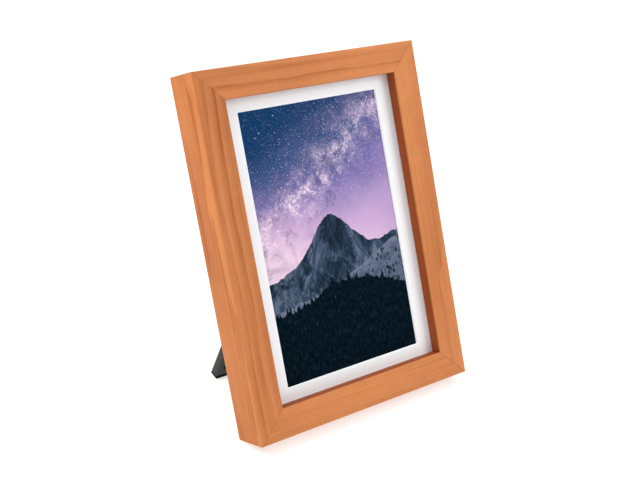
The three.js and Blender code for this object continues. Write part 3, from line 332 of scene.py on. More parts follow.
def piece(name, surface, body, material, stands_for=(), angle=-LEAN, crease=32):
    """Puts a surface into the scene as a piece that rides on a body, with faces pointing outwards and edges
    over the crease angle left sharp."""
    points, faces = surface
    mesh = bpy.data.meshes.new(name)
    mesh.from_pydata(tilted(points, angle).tolist(), [], faces)
    made = bpy.data.objects.new(name, mesh)
    bpy.context.scene.collection.objects.link(made)
    tidy_mesh(mesh, crease)
    mesh.materials.append(material)
    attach(made, body)
    if stands_for:
        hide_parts(*stands_for)
    return made


def tidy_mesh(mesh, crease):
    """Merges doubles, turns the faces outwards and shades smooth except over the crease angle."""
    shape = bmesh.new()
    shape.from_mesh(mesh)
    bmesh.ops.remove_doubles(shape, verts=shape.verts, dist=1e-6)
    bmesh.ops.dissolve_degenerate(shape, edges=shape.edges, dist=1e-7)
    bmesh.ops.recalc_face_normals(shape, faces=shape.faces)
    if shape.calc_volume(signed=True) < 0:
        bmesh.ops.reverse_faces(shape, faces=shape.faces)
    shape.to_mesh(mesh)
    shape.free()
    mesh.shade_smooth()
    mesh.set_sharp_from_angle(angle=math.radians(crease))


def carve(made, surfaces, operation="DIFFERENCE", angle=-LEAN, crease=32):
    """Cuts surfaces out of a piece, or joins them to it, and keeps the result as its mesh."""
    for surface in surfaces:
        points, faces = surface
        mesh = bpy.data.meshes.new("cutter")
        mesh.from_pydata(tilted(points, angle).tolist(), [], faces)
        tidy_mesh(mesh, crease)
        tool = bpy.data.objects.new("cutter", mesh)
        bpy.context.scene.collection.objects.link(tool)
        change = made.modifiers.new("carve", "BOOLEAN")
        change.operation = operation
        change.solver = "EXACT"
        change.object = tool
        bpy.context.view_layer.update()
        shaped = bpy.data.meshes.new_from_object(made.evaluated_get(bpy.context.evaluated_depsgraph_get()))
        made.modifiers.remove(change)
        bpy.data.objects.remove(tool)
        material = made.data.materials[0]
        made.data = shaped
        made.data.materials.clear()
        made.data.materials.append(material)
    tidy_mesh(made.data, crease)
    return made


# ---- Shader maths -----------------------------------------------------------------------------------------


class Field:
    """A value that changes over a surface: one output socket. Expressions on it add Math nodes."""

    def __init__(self, recipe, socket):
        self.recipe = recipe
        self.socket = socket

    def math(self, operation, *others, clamp=False):
        values = dict(enumerate((self, *others)))
        return self.recipe.node("Math", {"operation": operation, "use_clamp": clamp}, values)

    def __add__(self, other):
        return self.math("ADD", other)

    def __radd__(self, other):
        return self.math("ADD", other)

    def __sub__(self, other):
        return self.math("SUBTRACT", other)

    def __rsub__(self, other):
        return self.recipe.node("Math", {"operation": "SUBTRACT"}, {0: other, 1: self})

    def __mul__(self, other):
        return self.math("MULTIPLY", other)

    def __rmul__(self, other):
        return self.math("MULTIPLY", other)

    def __truediv__(self, other):
        return self.math("DIVIDE", other)

    def __pow__(self, other):
        return self.math("POWER", other)

    def __neg__(self):
        return self.math("MULTIPLY", -1.0)

    def __abs__(self):
        return self.math("ABSOLUTE")

    def clamped(self):
        return self.math("ADD", 0.0, clamp=True)

    def fraction(self):
        return self.math("FRACT")

    def rises(self, low, high):
        """0 below low, 1 above high and smooth between."""
        return self.recipe.node(
            "MapRange",
            {"interpolation_type": "SMOOTHSTEP"},
            {"Value": self, "From Min": low, "From Max": high},
        )


class Recipe:
    """Nodes being added to one tree, a material's or the world's. Every node comes from node(), and what
    repeats has a method of its own."""

    def __init__(self, owner):
        owner.use_nodes = True
        self.owner = owner
        self.tree = owner.node_tree
        self.tree.nodes.clear()

    @classmethod
    def of_material(cls, name):
        """A recipe for a new material."""
        return cls(bpy.data.materials.new(name))

    def node(self, kind, settings=None, values=None, out=0):
        """Adds a node: its settings, among them a ramp's stops, then the values or links of its sockets."""
        made = self.tree.nodes.new("ShaderNode" + kind)
        for name, setting in (settings or {}).items():
            if name == "stops":
                self.fill_ramp(made.color_ramp, setting)
            else:
                setattr(made, name, setting)
        for name, value in (values or {}).items():
            if isinstance(value, Field):
                self.tree.links.new(value.socket, made.inputs[name])
            else:
                made.inputs[name].default_value = value
        return None if out is None else Field(self, made.outputs[out])

    @staticmethod
    def fill_ramp(ramp, stops):
        """Sets a colour ramp's stops, from (place, colour or grey) pairs."""
        while len(ramp.elements) < len(stops):
            ramp.elements.new(1.0)
        for element, (place, value) in zip(ramp.elements, stops):
            element.position = place
            element.color = (*value, 1.0) if hasattr(value, "__len__") else (value, value, value, 1.0)

    def ramp(self, value, stops, interpolation="LINEAR"):
        """Colour ramp of a value."""
        made = self.node("ValToRGB", {"stops": stops}, {"Fac": value})
        made.socket.node.color_ramp.interpolation = interpolation
        return made

    def mix(self, share, first, second):
        """Colour mix: share 0 gives the first colour and 1 the second."""
        values = {0: share, 6: paint(first), 7: paint(second)}
        return self.node("Mix", {"data_type": "RGBA"}, values, out=2)

    def vector(self, operation, first, second):
        """Vector maths of two vectors."""
        return self.node("VectorMath", {"operation": operation}, {0: first, 1: second})

    def combine(self, x, y, z):
        """Vector of three values."""
        return self.node("CombineXYZ", {}, {0: x, 1: y, 2: z})

    def split(self, vector):
        """The three values of a vector."""
        made = self.node("SeparateXYZ", {}, {0: vector})
        return [Field(self, output) for output in made.socket.node.outputs]

    def noise(self, vector, scale, detail=3.0, roughness=0.5, distortion=0.0):
        """Fractal noise about 0.5."""
        values = {
            "Vector": vector,
            "Scale": scale,
            "Detail": detail,
            "Roughness": roughness,
            "Distortion": distortion,
        }
        return self.node("TexNoise", {"noise_dimensions": "3D"}, values)

    def object_place(self):
        """Object coordinates, which are the part's own metres."""
        return self.node("TexCoord", {}, {}, out="Object")

    def leaned_place(self):
        """Place in coordinates that lean with the frame: across, depth and up, in metres."""
        values = {"Vector": self.object_place(), "Rotation": (LEAN, 0.0, 0.0)}
        return self.node("Mapping", {"vector_type": "POINT"}, values)

    def stretched(self, vector, scale, shift=(0.0, 0.0, 0.0)):
        """A vector scaled along each axis and then shifted."""
        values = {"Vector": vector, "Scale": scale, "Location": shift}
        return self.node("Mapping", {"vector_type": "POINT"}, values)

    def bump(self, height, distance, strength=1.0):
        """Normal of a height in units of distance, in metres."""
        return self.node("Bump", {}, {"Height": height, "Distance": distance, "Strength": strength})

    def finish(self, **sockets):
        """Feeds the Principled shader and joins it to the output."""
        values = {}
        for name, value in sockets.items():
            values[name.replace("_", " ").title().replace("Ior", "IOR")] = value
        values["Base Color"] = paint(values["Base Color"])
        shader = self.node("BsdfPrincipled", {}, values)
        self.node("OutputMaterial", {}, {"Surface": shader}, out=None)
        return self.owner


def paint(colour):
    """A colour as a socket takes it, with its alpha."""
    if isinstance(colour, Field) or len(colour) == 4:
        return colour
    return (*colour, 1.0)


def darker(colour, share):
    """A colour scaled towards black."""
    return tuple(share * channel for channel in colour)


# ---- Finishes ---------------------------------------------------------------------------------------------


def wood_finish(name, settings, upright, heart, contrast, seed):
    """Stained hardwood, satin. Growth rings are circles about a far centre, the heart, given across the rail
    and in depth; each ring darkens slowly and ends sharply. Soft bands, fibres, short pores and a slow change
    of tone run along the rail."""
    recipe = Recipe.of_material(name)
    across, depth, up = recipe.split(recipe.leaned_place())
    side, along = (across, up) if upright else (up, across)
    grain = recipe.combine(side + 0.37 * seed, depth + 0.11 * seed, along + 0.53 * seed)
    wander = recipe.noise(recipe.stretched(grain, (22, 22, 6)), 1.0, 3.0) - 0.5
    ripple = recipe.noise(recipe.stretched(grain, (190, 190, 10)), 1.0, 3.0, 0.6) - 0.5
    out = (side + heart[0]) + wander * 0.020 + ripple * 0.0036
    into = (depth + heart[1]) + wander * 0.008
    distance = (out * out + into * into).math("SQRT")
    ring = (distance / settings.ring_spacing).fraction()
    late = ring.rises(0.05, 0.90) * (1 - ring.rises(0.91, 1.0))
    band = recipe.noise(recipe.stretched(grain, (260, 260, 5)), 1.0, 3.0, 0.6)
    fibre = recipe.noise(recipe.stretched(grain, (2100, 2100, 36)), 1.0, 3.0, 0.6)
    strand = recipe.noise(recipe.stretched(grain, (700, 700, 11)), 1.0, 3.0, 0.55)
    pore = recipe.noise(recipe.stretched(grain, (3300, 3300, 170)), 1.0, 1.0).rises(0.68, 0.78)
    tone = recipe.noise(recipe.stretched(grain, (34, 34, 9)), 1.0, 2.0)
    flame = recipe.noise(recipe.stretched(grain, (70, 70, 120)), 1.0, 3.0)
    share = late * (0.55 * contrast) + 0.80 * (band - 0.40).clamped() + 0.95 * (tone - 0.38).clamped()
    share = share + 0.50 * (strand - 0.5) + 0.22 * (fibre - 0.5) + 0.30 * (flame - 0.5)
    colour = recipe.mix(share.clamped(), tuple(settings.light), tuple(settings.dark))
    line = (late - 0.70).clamped() * (2.6 * contrast) * band.rises(0.42, 0.62) * tone.rises(0.38, 0.58)
    colour = recipe.mix(line.clamped(), colour, tuple(settings.streak))
    colour = recipe.mix(pore * 0.30, colour, tuple(settings.streak))
    inwards = HALF_WIDTH - abs(across) if upright else (TOP - MIDDLE) - abs(up - MIDDLE)
    behind = depth - FRONT
    # Painted shade: the walls round the window are mixed towards the inner-wall colour, darkening the recess
    # where shade falls.
    wall = inwards.rises(FACE_WIDTH - 0.30 * MM, FACE_WIDTH - 0.05 * MM) * behind.rises(0.4 * MM, 1.2 * MM)
    colour = recipe.mix(wall * 0.80, colour, tuple(settings.painted_wall_shade))
    # Paler outer arrises, varied by the tone: a painted highlight, which also stands for thin stain on worn
    # edges.
    arris = (inwards + behind).rises(0.62 * settings.arris, 0.30 * settings.arris)
    wear_and_highlight = arris * (0.35 + 0.9 * (tone - 0.3)).clamped()
    colour = recipe.mix(wear_and_highlight, colour, tuple(settings.wear_and_highlight))
    rough = 0.46 + 0.08 * fibre + 0.06 * late + 0.10 * pore
    relief = fibre * 0.35 + strand * 0.3 - pore * 0.9
    return recipe.finish(
        base_color=colour,
        roughness=rough,
        normal=recipe.bump(relief, 0.03 * MM, 0.7),
        specular_ior_level=0.10,
    )


def mat_finish(settings):
    """Cool white mat board: matt paper with a faint felt-marked surface."""
    recipe = Recipe.of_material("white_mat_board")
    place = recipe.object_place()
    felt = recipe.noise(place, 900.0, 4.0, 0.6)
    cloud = recipe.noise(place, 60.0, 2.0)
    tint = tuple(settings.mat)
    colour = recipe.mix((0.5 * felt + 0.5 * cloud).clamped(), tint, darker(tint, 0.965))
    return recipe.finish(
        base_color=colour,
        roughness=0.86 + 0.08 * felt,
        normal=recipe.bump(felt, 0.03 * MM, 0.5),
        specular_ior_level=0.3,
    )


def skyline(recipe, across, levels, jag, seed):
    """Height of a skyline over the picture's width: given levels joined smoothly, with finer jags."""
    level = recipe.ramp(across, levels, "B_SPLINE")
    coarse = recipe.noise(recipe.combine(across * 6.0, seed, 0.0), 1.0, 3.0, 0.6) - 0.5
    fine = recipe.noise(recipe.combine(across * 42.0, seed, 3.0), 1.0, 4.0, 0.65) - 0.5
    return level.math("ADD", coarse * jag + fine * (0.34 * jag))


def cells(recipe, place, scale, dimensions="3D"):
    """Voronoi cells: the distance to each cell's middle and a chance from 0 to 1 for each cell."""
    socket = "W" if dimensions == "1D" else "Vector"
    values = {socket: place, "Scale": scale}
    voronoi = recipe.node("TexVoronoi", {"voronoi_dimensions": dimensions}, values).socket.node
    chance = recipe.node("SeparateColor", {}, {0: Field(recipe, voronoi.outputs["Color"])})
    return Field(recipe, voronoi.outputs["Distance"]), chance


def star_field(recipe, place, scale, size, seed):
    """Small round stars of uneven brightness, at most one in each cell."""
    distance, chance = cells(recipe, recipe.vector("ADD", place, (seed, 2.7 * seed, 0.0)), scale)
    return (1 - distance.rises(0.25 * size, size)) * chance**4.0


def sky_colour(recipe, settings, across, up, place):
    """Night sky: deep blue overhead, violet below, lilac over the mountains, and a bright band of stars
    that climbs from the lower left to the upper right with dark lanes in it. The band is a bell curve of the
    distance to a line."""
    drift = recipe.noise(place, 2.4, 3.0, 0.55) - 0.5
    tilt = (0.60 - up) * (across - 0.5)
    level = up + 0.14 * drift + 1.05 * tilt
    stops = [
        (0.40, tuple(settings.horizon)),
        (0.55, (0.55, 0.375, 0.63)),
        (0.69, tuple(settings.violet)),
        (0.82, (0.030, 0.080, 0.215)),
        (0.96, tuple(settings.zenith)),
    ]
    colour = recipe.ramp(level, stops)
    bend = recipe.noise(place, 3.2, 3.0, 0.6) - 0.5
    off = (up * 1.343 - 0.69) - across * 0.59 + 0.10 * bend
    band = (-(off * off) / 0.010).math("EXPONENT")
    wide = (-(off * off) / 0.050).math("EXPONENT")
    strength = 1.25 - 0.75 * across
    cloud = recipe.noise(place, 8.0, 6.0, 0.68, 0.4)
    grain = recipe.noise(place, 52.0, 5.0, 0.8)
    lane = recipe.noise(recipe.vector("ADD", place, (4.0, 1.0, 0.0)), 6.5, 5.0, 0.66, 0.8)
    haze = wide * 0.38 * cloud.rises(0.25, 0.72) * up.rises(0.42, 0.60)
    colour = recipe.mix(haze.clamped(), colour, (0.46, 0.31, 0.58))
    shade = wide * lane.rises(0.49, 0.62) * (0.45 + 1.0 * grain.rises(0.4, 0.62))
    colour = recipe.mix((shade * 0.55).clamped(), colour, (0.085, 0.070, 0.190))
    glow = band * cloud.rises(0.40, 0.66) * strength * (0.15 + 1.35 * grain.rises(0.40, 0.66))
    glow = glow * (1 - 0.75 * lane.rises(0.50, 0.60))
    colour = recipe.mix((glow * 1.05).clamped(), colour, (0.98, 0.80, 0.90))
    thick = 0.30 + 1.0 * wide
    stars = star_field(recipe, place, 34.0, 0.15, 1.0) * 1.5
    stars = stars + star_field(recipe, place, 80.0, 0.27, 5.0) * thick * 1.6
    stars = stars + star_field(recipe, place, 165.0, 0.40, 9.0) * thick * 1.2
    fade = 0.10 + 0.90 * up.rises(0.44, 0.70)
    return recipe.mix((stars * fade).clamped(), colour, (0.90, 0.90, 1.0))


def mountain_side(recipe, settings, across, up):
    """Rock ribs and snow gullies that fan out below the summit. The relief is noise over a fan of rays, and
    its slope to one side tells the faces in moonlight from those in shade; snow gathers low down and in the
    gullies."""
    drop = 0.640 - up
    fan = (across - 0.490) / (drop + 0.16)
    rays = recipe.combine(fan * 2.5, drop * 5.5, across * 2.0)
    relief = recipe.noise(rays, 1.0, 7.0, 0.62, 0.5)
    beside = recipe.noise(recipe.vector("ADD", rays, (0.075, 0.02, 0.03)), 1.0, 7.0, 0.62, 0.5)
    lit = (relief - beside).rises(-0.035, 0.060)
    cover = recipe.noise(recipe.combine(across * 9.0, up * 10.0, 3.0), 1.0, 6.0, 0.68, 0.6)
    snowed = (cover + 0.9 * (0.44 - up) + 0.7 * (0.50 - relief)).rises(0.44, 0.58)
    rock = recipe.mix(lit, darker(tuple(settings.rock), 0.40), tuple(settings.rock))
    snow = recipe.mix(lit, (0.034, 0.062, 0.110), tuple(settings.snow))
    return recipe.mix(snowed, rock, snow)


def picture_colour(recipe, settings, across, up):
    """A night landscape: sky, a broad mountain under snow, a nearer slope with scattered trees and, along the
    bottom, a dark wood with pointed treetops. Each layer covers the one before it below its own skyline."""
    place = recipe.combine(across, up * 1.667, 0.0)
    colour = sky_colour(recipe, settings, across, up, place)

    far = [(0.0, 0.372), (0.14, 0.402), (0.26, 0.428), (0.38, 0.520), (0.48, 0.592)]
    far += [(0.56, 0.566), (0.66, 0.502)]
    far += [(0.78, 0.436), (0.90, 0.446), (1.0, 0.462)]
    ridge = skyline(recipe, across, far, 0.050, 2.0)
    share = (ridge - up).rises(-0.0010, 0.0018)
    colour = recipe.mix(share, colour, mountain_side(recipe, settings, across, up))

    fold = recipe.noise(recipe.stretched(place, (5, 3.4, 1), (2.0, 1.7, 0.0)), 1.0, 6.0, 0.60, 0.8)
    near = [(0.0, 0.262), (0.20, 0.285), (0.40, 0.300), (0.56, 0.330), (0.72, 0.372)]
    near += [(0.86, 0.412), (1.0, 0.440)]
    brow = skyline(recipe, across, near, 0.030, 7.0)
    drifted = recipe.noise(recipe.stretched(place, (8, 17, 1), (1.3, 0.0, 2.0)), 1.0, 6.0, 0.66, 0.9)
    slope = recipe.mix(drifted.rises(0.34, 0.64), (0.052, 0.080, 0.132), tuple(settings.snow))
    slope = recipe.mix((brow - up).rises(0.035, 0.0) * 0.45, slope, (0.235, 0.275, 0.380))
    tree, kind = cells(recipe, recipe.stretched(place, (62, 30, 1), (0.3, 1.7, 0.0)), 1.0)
    patch = recipe.noise(place, 8.0, 4.0, 0.6)
    wooded = ((brow - up) * 4.0 + 3.2 * (patch - 0.47)).clamped()
    stand = (wooded + 0.10 - kind).rises(-0.04, 0.06) * (1 - (tree + 0.5 * (drifted - 0.5)).rises(0.34, 0.50))
    slope = recipe.mix(stand.clamped(), slope, (0.010, 0.019, 0.031))
    colour = recipe.mix((brow - up).rises(-0.002, 0.003), colour, slope)

    edge = [(0.0, 0.250), (0.22, 0.262), (0.36, 0.292), (0.45, 0.335), (0.53, 0.312)]
    edge += [(0.70, 0.318), (0.86, 0.286)]
    edge += [(1.0, 0.240)]
    tips = skyline(recipe, across, edge, 0.066, 11.0)
    clump = recipe.noise(recipe.combine(across * 11.0, 5.0, 2.0), 1.0, 3.0, 0.6).rises(0.36, 0.66)
    for scale, low, high, seed in ((31.0, 0.002, 0.052, 0.0), (79.0, 0.003, 0.022, 0.37)):
        middle, tall = cells(recipe, across + seed + 0.010 * fold, scale, "1D")
        tips = tips.math("ADD", (1 - 2.2 * middle).clamped() * (low + high * tall * tall) * (0.25 + clump))
    leaf = recipe.noise(recipe.stretched(place, (70, 24, 1), (0.0, 3.0, 0.0)), 1.0, 5.0, 0.72)
    glade = recipe.noise(recipe.stretched(place, (17, 20, 1), (7.0, 0.0, 0.0)), 1.0, 5.0, 0.74)
    wood = recipe.mix(leaf.rises(0.42, 0.80), tuple(settings.forest), (0.009, 0.024, 0.037))
    higher = 0.25 + 0.9 * (up - 0.14).rises(0.0, 0.14)
    open_ground = glade.rises(0.56, 0.70) * leaf.rises(0.46, 0.62) * higher
    wood = recipe.mix((open_ground * 0.60).clamped(), wood, (0.070, 0.100, 0.150))
    return recipe.mix((tips - up).rises(-0.001, 0.0015), colour, wood)


def picture_finish(settings):
    """The display's matt face: the picture where it is lit up, and the panel's blank grey edge outside it."""
    recipe = Recipe.of_material("electronic_paper_picture")
    x, _, z = recipe.split(recipe.leaned_place())
    across = x / settings.width + 0.5
    up = (z - MIDDLE) / settings.height + 0.5
    shown = picture_colour(recipe, settings, across, up)
    outside = (abs(across - 0.5) - 0.5).math("MAXIMUM", abs(up - 0.5) - 0.5)
    colour = recipe.mix(outside.math("GREATER_THAN", 0.004), shown, (0.62, 0.63, 0.62))
    frost = recipe.noise(recipe.object_place(), 2600.0, 2.0, 0.5)
    return recipe.finish(
        base_color=colour,
        roughness=0.62 + 0.08 * frost,
        normal=recipe.bump(frost, 0.01 * MM, 0.35),
        specular_ior_level=0.01,
    )


def plastic_finish(name, colour, roughness=0.46, texture=0.03, scale=1500.0):
    """Moulded plastic: a fine spark-eroded texture, with slow changes of gloss and faint flow marks."""
    recipe = Recipe.of_material(name)
    place = recipe.object_place()
    spark = recipe.noise(place, scale, 3.0, 0.55)
    gloss = recipe.noise(place, 45.0, 3.0, 0.6)
    flow = recipe.noise(recipe.stretched(place, (30, 30, 140)), 1.0, 2.0)
    shade = recipe.mix((0.6 * gloss + 0.4 * flow).clamped(), darker(colour, 0.82), darker(colour, 1.22))
    return recipe.finish(
        base_color=shade,
        roughness=(roughness - 0.06) + 0.07 * gloss + 0.07 * spark,
        normal=recipe.bump(spark, texture * MM, 0.6),
        specular_ior_level=0.45,
    )


def rubber_finish(settings):
    """Black rubber: dull, with a fine grain and a few paler scuffs."""
    recipe = Recipe.of_material("black_rubber")
    place = recipe.object_place()
    grain = recipe.noise(place, 2400.0, 3.0, 0.7)
    scuff = recipe.noise(recipe.stretched(place, (90, 400, 400)), 1.0, 4.0, 0.7).rises(0.60, 0.80)
    shade = recipe.mix(scuff * 0.5, tuple(settings.rubber), darker(settings.rubber, 3.0))
    return recipe.finish(
        base_color=shade,
        roughness=0.78 + 0.12 * grain,
        normal=recipe.bump(grain, 0.03 * MM, 0.7),
        specular_ior_level=0.3,
    )


def metal_finish(name, colour, roughness, streaks=(300, 300, 300), bright=1.25):
    """Plated or rolled metal: fine brushing along one direction, cloudy plating and small bright wear."""
    recipe = Recipe.of_material(name)
    place = recipe.object_place()
    brush = recipe.noise(recipe.stretched(place, streaks), 8.0, 3.0, 0.6)
    cloud = recipe.noise(place, 220.0, 3.0, 0.6)
    shade = recipe.mix((0.5 * brush + 0.5 * cloud).clamped(), darker(colour, 0.75), darker(colour, bright))
    return recipe.finish(
        base_color=shade,
        metallic=1.0,
        roughness=(roughness - 0.08) + 0.12 * brush + 0.08 * cloud,
        normal=recipe.bump(brush, 0.01 * MM, 0.5),
    )


def board_finish(name, mask, copper):
    """Circuit board: solder mask over straight copper tracks, which show paler, with a faint darker weave."""
    recipe = Recipe.of_material(name)
    x, _, z = recipe.split(recipe.leaned_place())
    lines = recipe.noise(recipe.combine((x * 700.0).math("FLOOR"), (z * 90.0).math("FLOOR"), 1.0), 0.9, 0.0)
    columns = (abs((x * 700.0).fraction() - 0.5)).rises(0.30, 0.22) * lines.rises(0.49, 0.52)
    bars = recipe.noise(recipe.combine((x * 80.0).math("FLOOR"), (z * 640.0).math("FLOOR"), 4.0), 0.9, 0.0)
    rows = (abs((z * 640.0).fraction() - 0.5)).rises(0.30, 0.22) * bars.rises(0.50, 0.53)
    track = columns.math("MAXIMUM", rows)
    weave = recipe.noise(recipe.object_place(), 1800.0, 2.0)
    shade = recipe.mix(track * 0.8, mask, copper)
    shade = recipe.mix(weave.rises(0.4, 0.8) * 0.2, shade, darker(mask, 0.5))
    return recipe.finish(
        base_color=shade,
        roughness=0.30 + 0.12 * weave,
        normal=recipe.bump(track, 0.03 * MM, 0.5),
        coat_weight=0.3,
        coat_roughness=0.18,
    )


def film_finish():
    """Amber film of the ribbon with its copper lines."""
    recipe = Recipe.of_material("amber_film")
    _, _, z = recipe.split(recipe.leaned_place())
    line = abs((z * 1250.0).fraction() - 0.5).rises(0.24, 0.16)
    cloud = recipe.noise(recipe.object_place(), 160.0, 2.0)
    film = recipe.mix(cloud, (0.42, 0.17, 0.020), (0.56, 0.25, 0.035))
    return recipe.finish(
        base_color=recipe.mix(line * 0.6, film, (0.30, 0.10, 0.014)),
        roughness=0.22 + 0.1 * cloud,
        normal=recipe.bump(line, 0.02 * MM, 0.5),
        coat_weight=0.4,
        coat_roughness=0.1,
    )


def foil_finish():
    """Battery pouch: crumpled matt aluminium foil."""
    recipe = Recipe.of_material("battery_foil")
    place = recipe.object_place()
    crease = recipe.noise(place, 140.0, 5.0, 0.65, 1.2)
    fine = recipe.noise(place, 900.0, 2.0)
    return recipe.finish(
        base_color=recipe.mix(crease, (0.50, 0.51, 0.53), (0.72, 0.73, 0.75)),
        metallic=0.85,
        roughness=0.34 + 0.14 * fine,
        normal=recipe.bump(crease, 0.25 * MM, 0.7),
    )


def clear_finish():
    """Clear moulded plastic of the light pipe, slightly frosted on its face."""
    recipe = Recipe.of_material("clear_light_pipe")
    frost = recipe.noise(recipe.object_place(), 1600.0, 3.0, 0.6)
    return recipe.finish(
        base_color=recipe.mix(frost, (0.80, 0.84, 0.85), (0.92, 0.94, 0.95)),
        roughness=0.16 + 0.14 * frost,
        transmission_weight=0.65,
        ior=1.49,
    )


FINISHES = {}


def finish_of(name):
    """A finish made earlier, by name."""
    return FINISHES[name]


# ---- Operators: finishes ----------------------------------------------------------------------------------


class PHOTOFRAME_OT_finishes(Operator):
    """Make every material of the photo frame"""

    bl_idname = "photo_frame.finishes"
    bl_label = "Finishes"

    def execute(self, context):
        scene = context.scene
        wood = scene.frame_wood
        moulding = scene.frame_moulding
        for place, upright, heart, contrast, seed in (
            ("left", True, (0.31, 0.010), 0.62, 1),
            ("right", True, (0.02, 0.26), 0.30, 2),
            ("top", False, (0.03, 0.34), 0.26, 3),
            ("bottom", False, (-0.02, 0.30), 0.26, 4),
        ):
            finish = wood_finish("stained_wood_" + place, wood, upright, heart, contrast, seed)
            FINISHES["wood_" + place] = finish
        FINISHES["mat"] = mat_finish(scene.frame_picture)
        FINISHES["picture"] = picture_finish(scene.frame_picture)
        FINISHES["black"] = plastic_finish("black_moulded_plastic", tuple(moulding.plastic))
        FINISHES["control"] = plastic_finish("satin_black_plastic", (0.030, 0.030, 0.033), 0.36, 0.012)
        FINISHES["chip"] = plastic_finish("black_epoxy", (0.018, 0.018, 0.020), 0.5)
        FINISHES["tray"] = plastic_finish("grey_tray_plastic", (0.62, 0.62, 0.60), 0.5)
        FINISHES["ivory"] = plastic_finish("ivory_connector_plastic", (0.74, 0.70, 0.58), 0.42)
        FINISHES["ferrite"] = plastic_finish("ferrite", (0.045, 0.045, 0.048), 0.62, 0.06, 900.0)
        FINISHES["foam"] = plastic_finish("black_foam", (0.022, 0.022, 0.024), 0.9, 0.25, 700.0)
        FINISHES["red"] = plastic_finish("red_insulation", (0.42, 0.012, 0.010), 0.34, 0.01)
        FINISHES["wire"] = plastic_finish("black_insulation", (0.012, 0.012, 0.013), 0.34, 0.01)
        FINISHES["rubber"] = rubber_finish(moulding)
        FINISHES["steel"] = metal_finish("zinc_plated_steel", (0.55, 0.56, 0.58), 0.34, (40, 400, 400))
        FINISHES["tinned"] = metal_finish("tinned_steel", (0.60, 0.60, 0.58), 0.30)
        FINISHES["screw"] = metal_finish("black_plated_steel", (0.050, 0.050, 0.054), 0.42, bright=1.7)
        FINISHES["board"] = board_finish("green_circuit_board", (0.010, 0.095, 0.036), (0.030, 0.200, 0.080))
        FINISHES["film"] = film_finish()
        FINISHES["foil"] = foil_finish()
        FINISHES["clear"] = clear_finish()
        return {"FINISHED"}


# ---- Operators: wooden frame ------------------------------------------------------------------------------


def rail_profile(settings):
    """Section of a rail, as (inwards from the outer edge, depth): a face with eased arrises, the lip, the
    rebate and the step that takes the rear cover."""
    arris = settings.arris
    cover_step = COVER_INSIDE - GAP - FRONT
    back = BACK - FRONT
    corners = [
        (0.0, 0.0),
        (FACE_WIDTH, 0.0),
        (FACE_WIDTH, settings.lip),
        (settings.wall, settings.lip),
        (settings.wall, cover_step),
        (settings.rim, cover_step),
        (settings.rim, back),
        (0.0, back),
    ]
    radii = arris * np.array([1, 0.7, 0.3, 0.1, 0.1, 0.1, 0.3, 1])
    return rounded(corners, radii, 5)()


def rail_surface(section, length, gap, stations=40):
    """A section carried along a straight rail with mitred ends: a point that is u inwards starts u from one
    corner and stops u from the other, and t runs evenly between."""
    inwards, depth = section.T
    start = inwards + gap
    stop = length - inwards - gap
    share = np.linspace(0, 1, stations)[:, None]
    along = start + (stop - start) * share
    across, deep = np.broadcast_to(inwards, along.shape), np.broadcast_to(depth, along.shape)
    return np.stack([across, deep, along], 2).reshape(-1, 3), ring_faces(stations, len(section))


class PHOTOFRAME_OT_rails(Operator):
    """Build the four mitred wooden rails"""

    bl_idname = "photo_frame.rails"
    bl_label = "Wooden rails"

    def execute(self, context):
        wood = context.scene.frame_wood
        section = rail_profile(wood)
        height, width = TOP - BOTTOM, 2 * HALF_WIDTH
        places = {
            "left": (height, 0, -HALF_WIDTH, BOTTOM),
            "bottom": (width, 1, HALF_WIDTH, BOTTOM),
            "right": (height, 2, HALF_WIDTH, TOP),
            "top": (width, 3, -HALF_WIDTH, TOP),
        }
        for name, (length, turns, across, up) in places.items():
            surface = spun(rail_surface(section, length, wood.mitre_gap / 2), turns * math.pi / 2)
            piece(
                "rail_" + name,
                moved(surface, across, FRONT, up),
                "case",
                finish_of("wood_" + name),
                ["frame_rail_" + name],
            )
        return {"FINISHED"}


class PHOTOFRAME_OT_nails(Operator):
    """Build the V-nails across the mitres, driven flush with the back"""

    bl_idname = "photo_frame.nails"
    bl_label = "Corner nails"

    def execute(self, context):
        inset, arm, thick, sink, ease = 4.8 * MM, 3.0 * MM, 0.5 * MM, 8 * MM, 0.08 * MM
        proud = 0.03 * MM
        for name, side, end in (
            ("bottom_left", -1, -1),
            ("bottom_right", 1, -1),
            ("top_left", -1, 1),
            ("top_right", 1, 1),
        ):
            corners = [
                (inset, inset),
                (inset - arm, inset),
                (inset - arm, inset - thick),
                (inset - thick, inset - thick),
                (inset - thick, inset - arm),
                (inset, inset - arm),
            ]
            corner_up = TOP if end > 0 else BOTTOM
            placed = [(side * (HALF_WIDTH - u), corner_up - end * v) for u, v in corners]
            if side * end < 0:
                placed.reverse()
            piece(
                "v_nail_" + name,
                slab_surface(rounded(placed, ease, 3), eased(BACK - sink, BACK + proud, ease, 3)),
                "case",
                finish_of("steel"),
                ["corner_v_nail_" + name],
            )
        return {"FINISHED"}


# ---- Operators: mat, display and foam ---------------------------------------------------------------------


def window_surface(board, window, section):
    """A flat board with a window, from the half sizes of both, as a section carried round the window. Each
    row of the section gives how far from the window's edge it lies, as a share of the way to the board's
    edge, with an offset, and its depth."""
    corners = np.array([(-1, -1), (1, -1), (1, 1), (-1, 1)], float)
    inner = corners * window
    outer = corners * board
    share, offset, depth = np.asarray(section, float).T
    flat = inner[None] + (outer - inner)[None] * share[:, None, None] + corners[None] * offset[:, None, None]
    deep = np.broadcast_to(depth[:, None], flat.shape[:2])
    points = np.stack([flat[:, :, 0], deep, flat[:, :, 1]], 2).reshape(-1, 3)
    rows, columns = len(section), 4
    index = np.arange(rows * columns).reshape(rows, columns)
    beside, ahead = np.roll(index, -1, 1), np.roll(index, -1, 0)
    both = np.roll(beside, -1, 0)
    return points, np.stack([index, beside, both, ahead], 2).reshape(-1, 4).tolist()


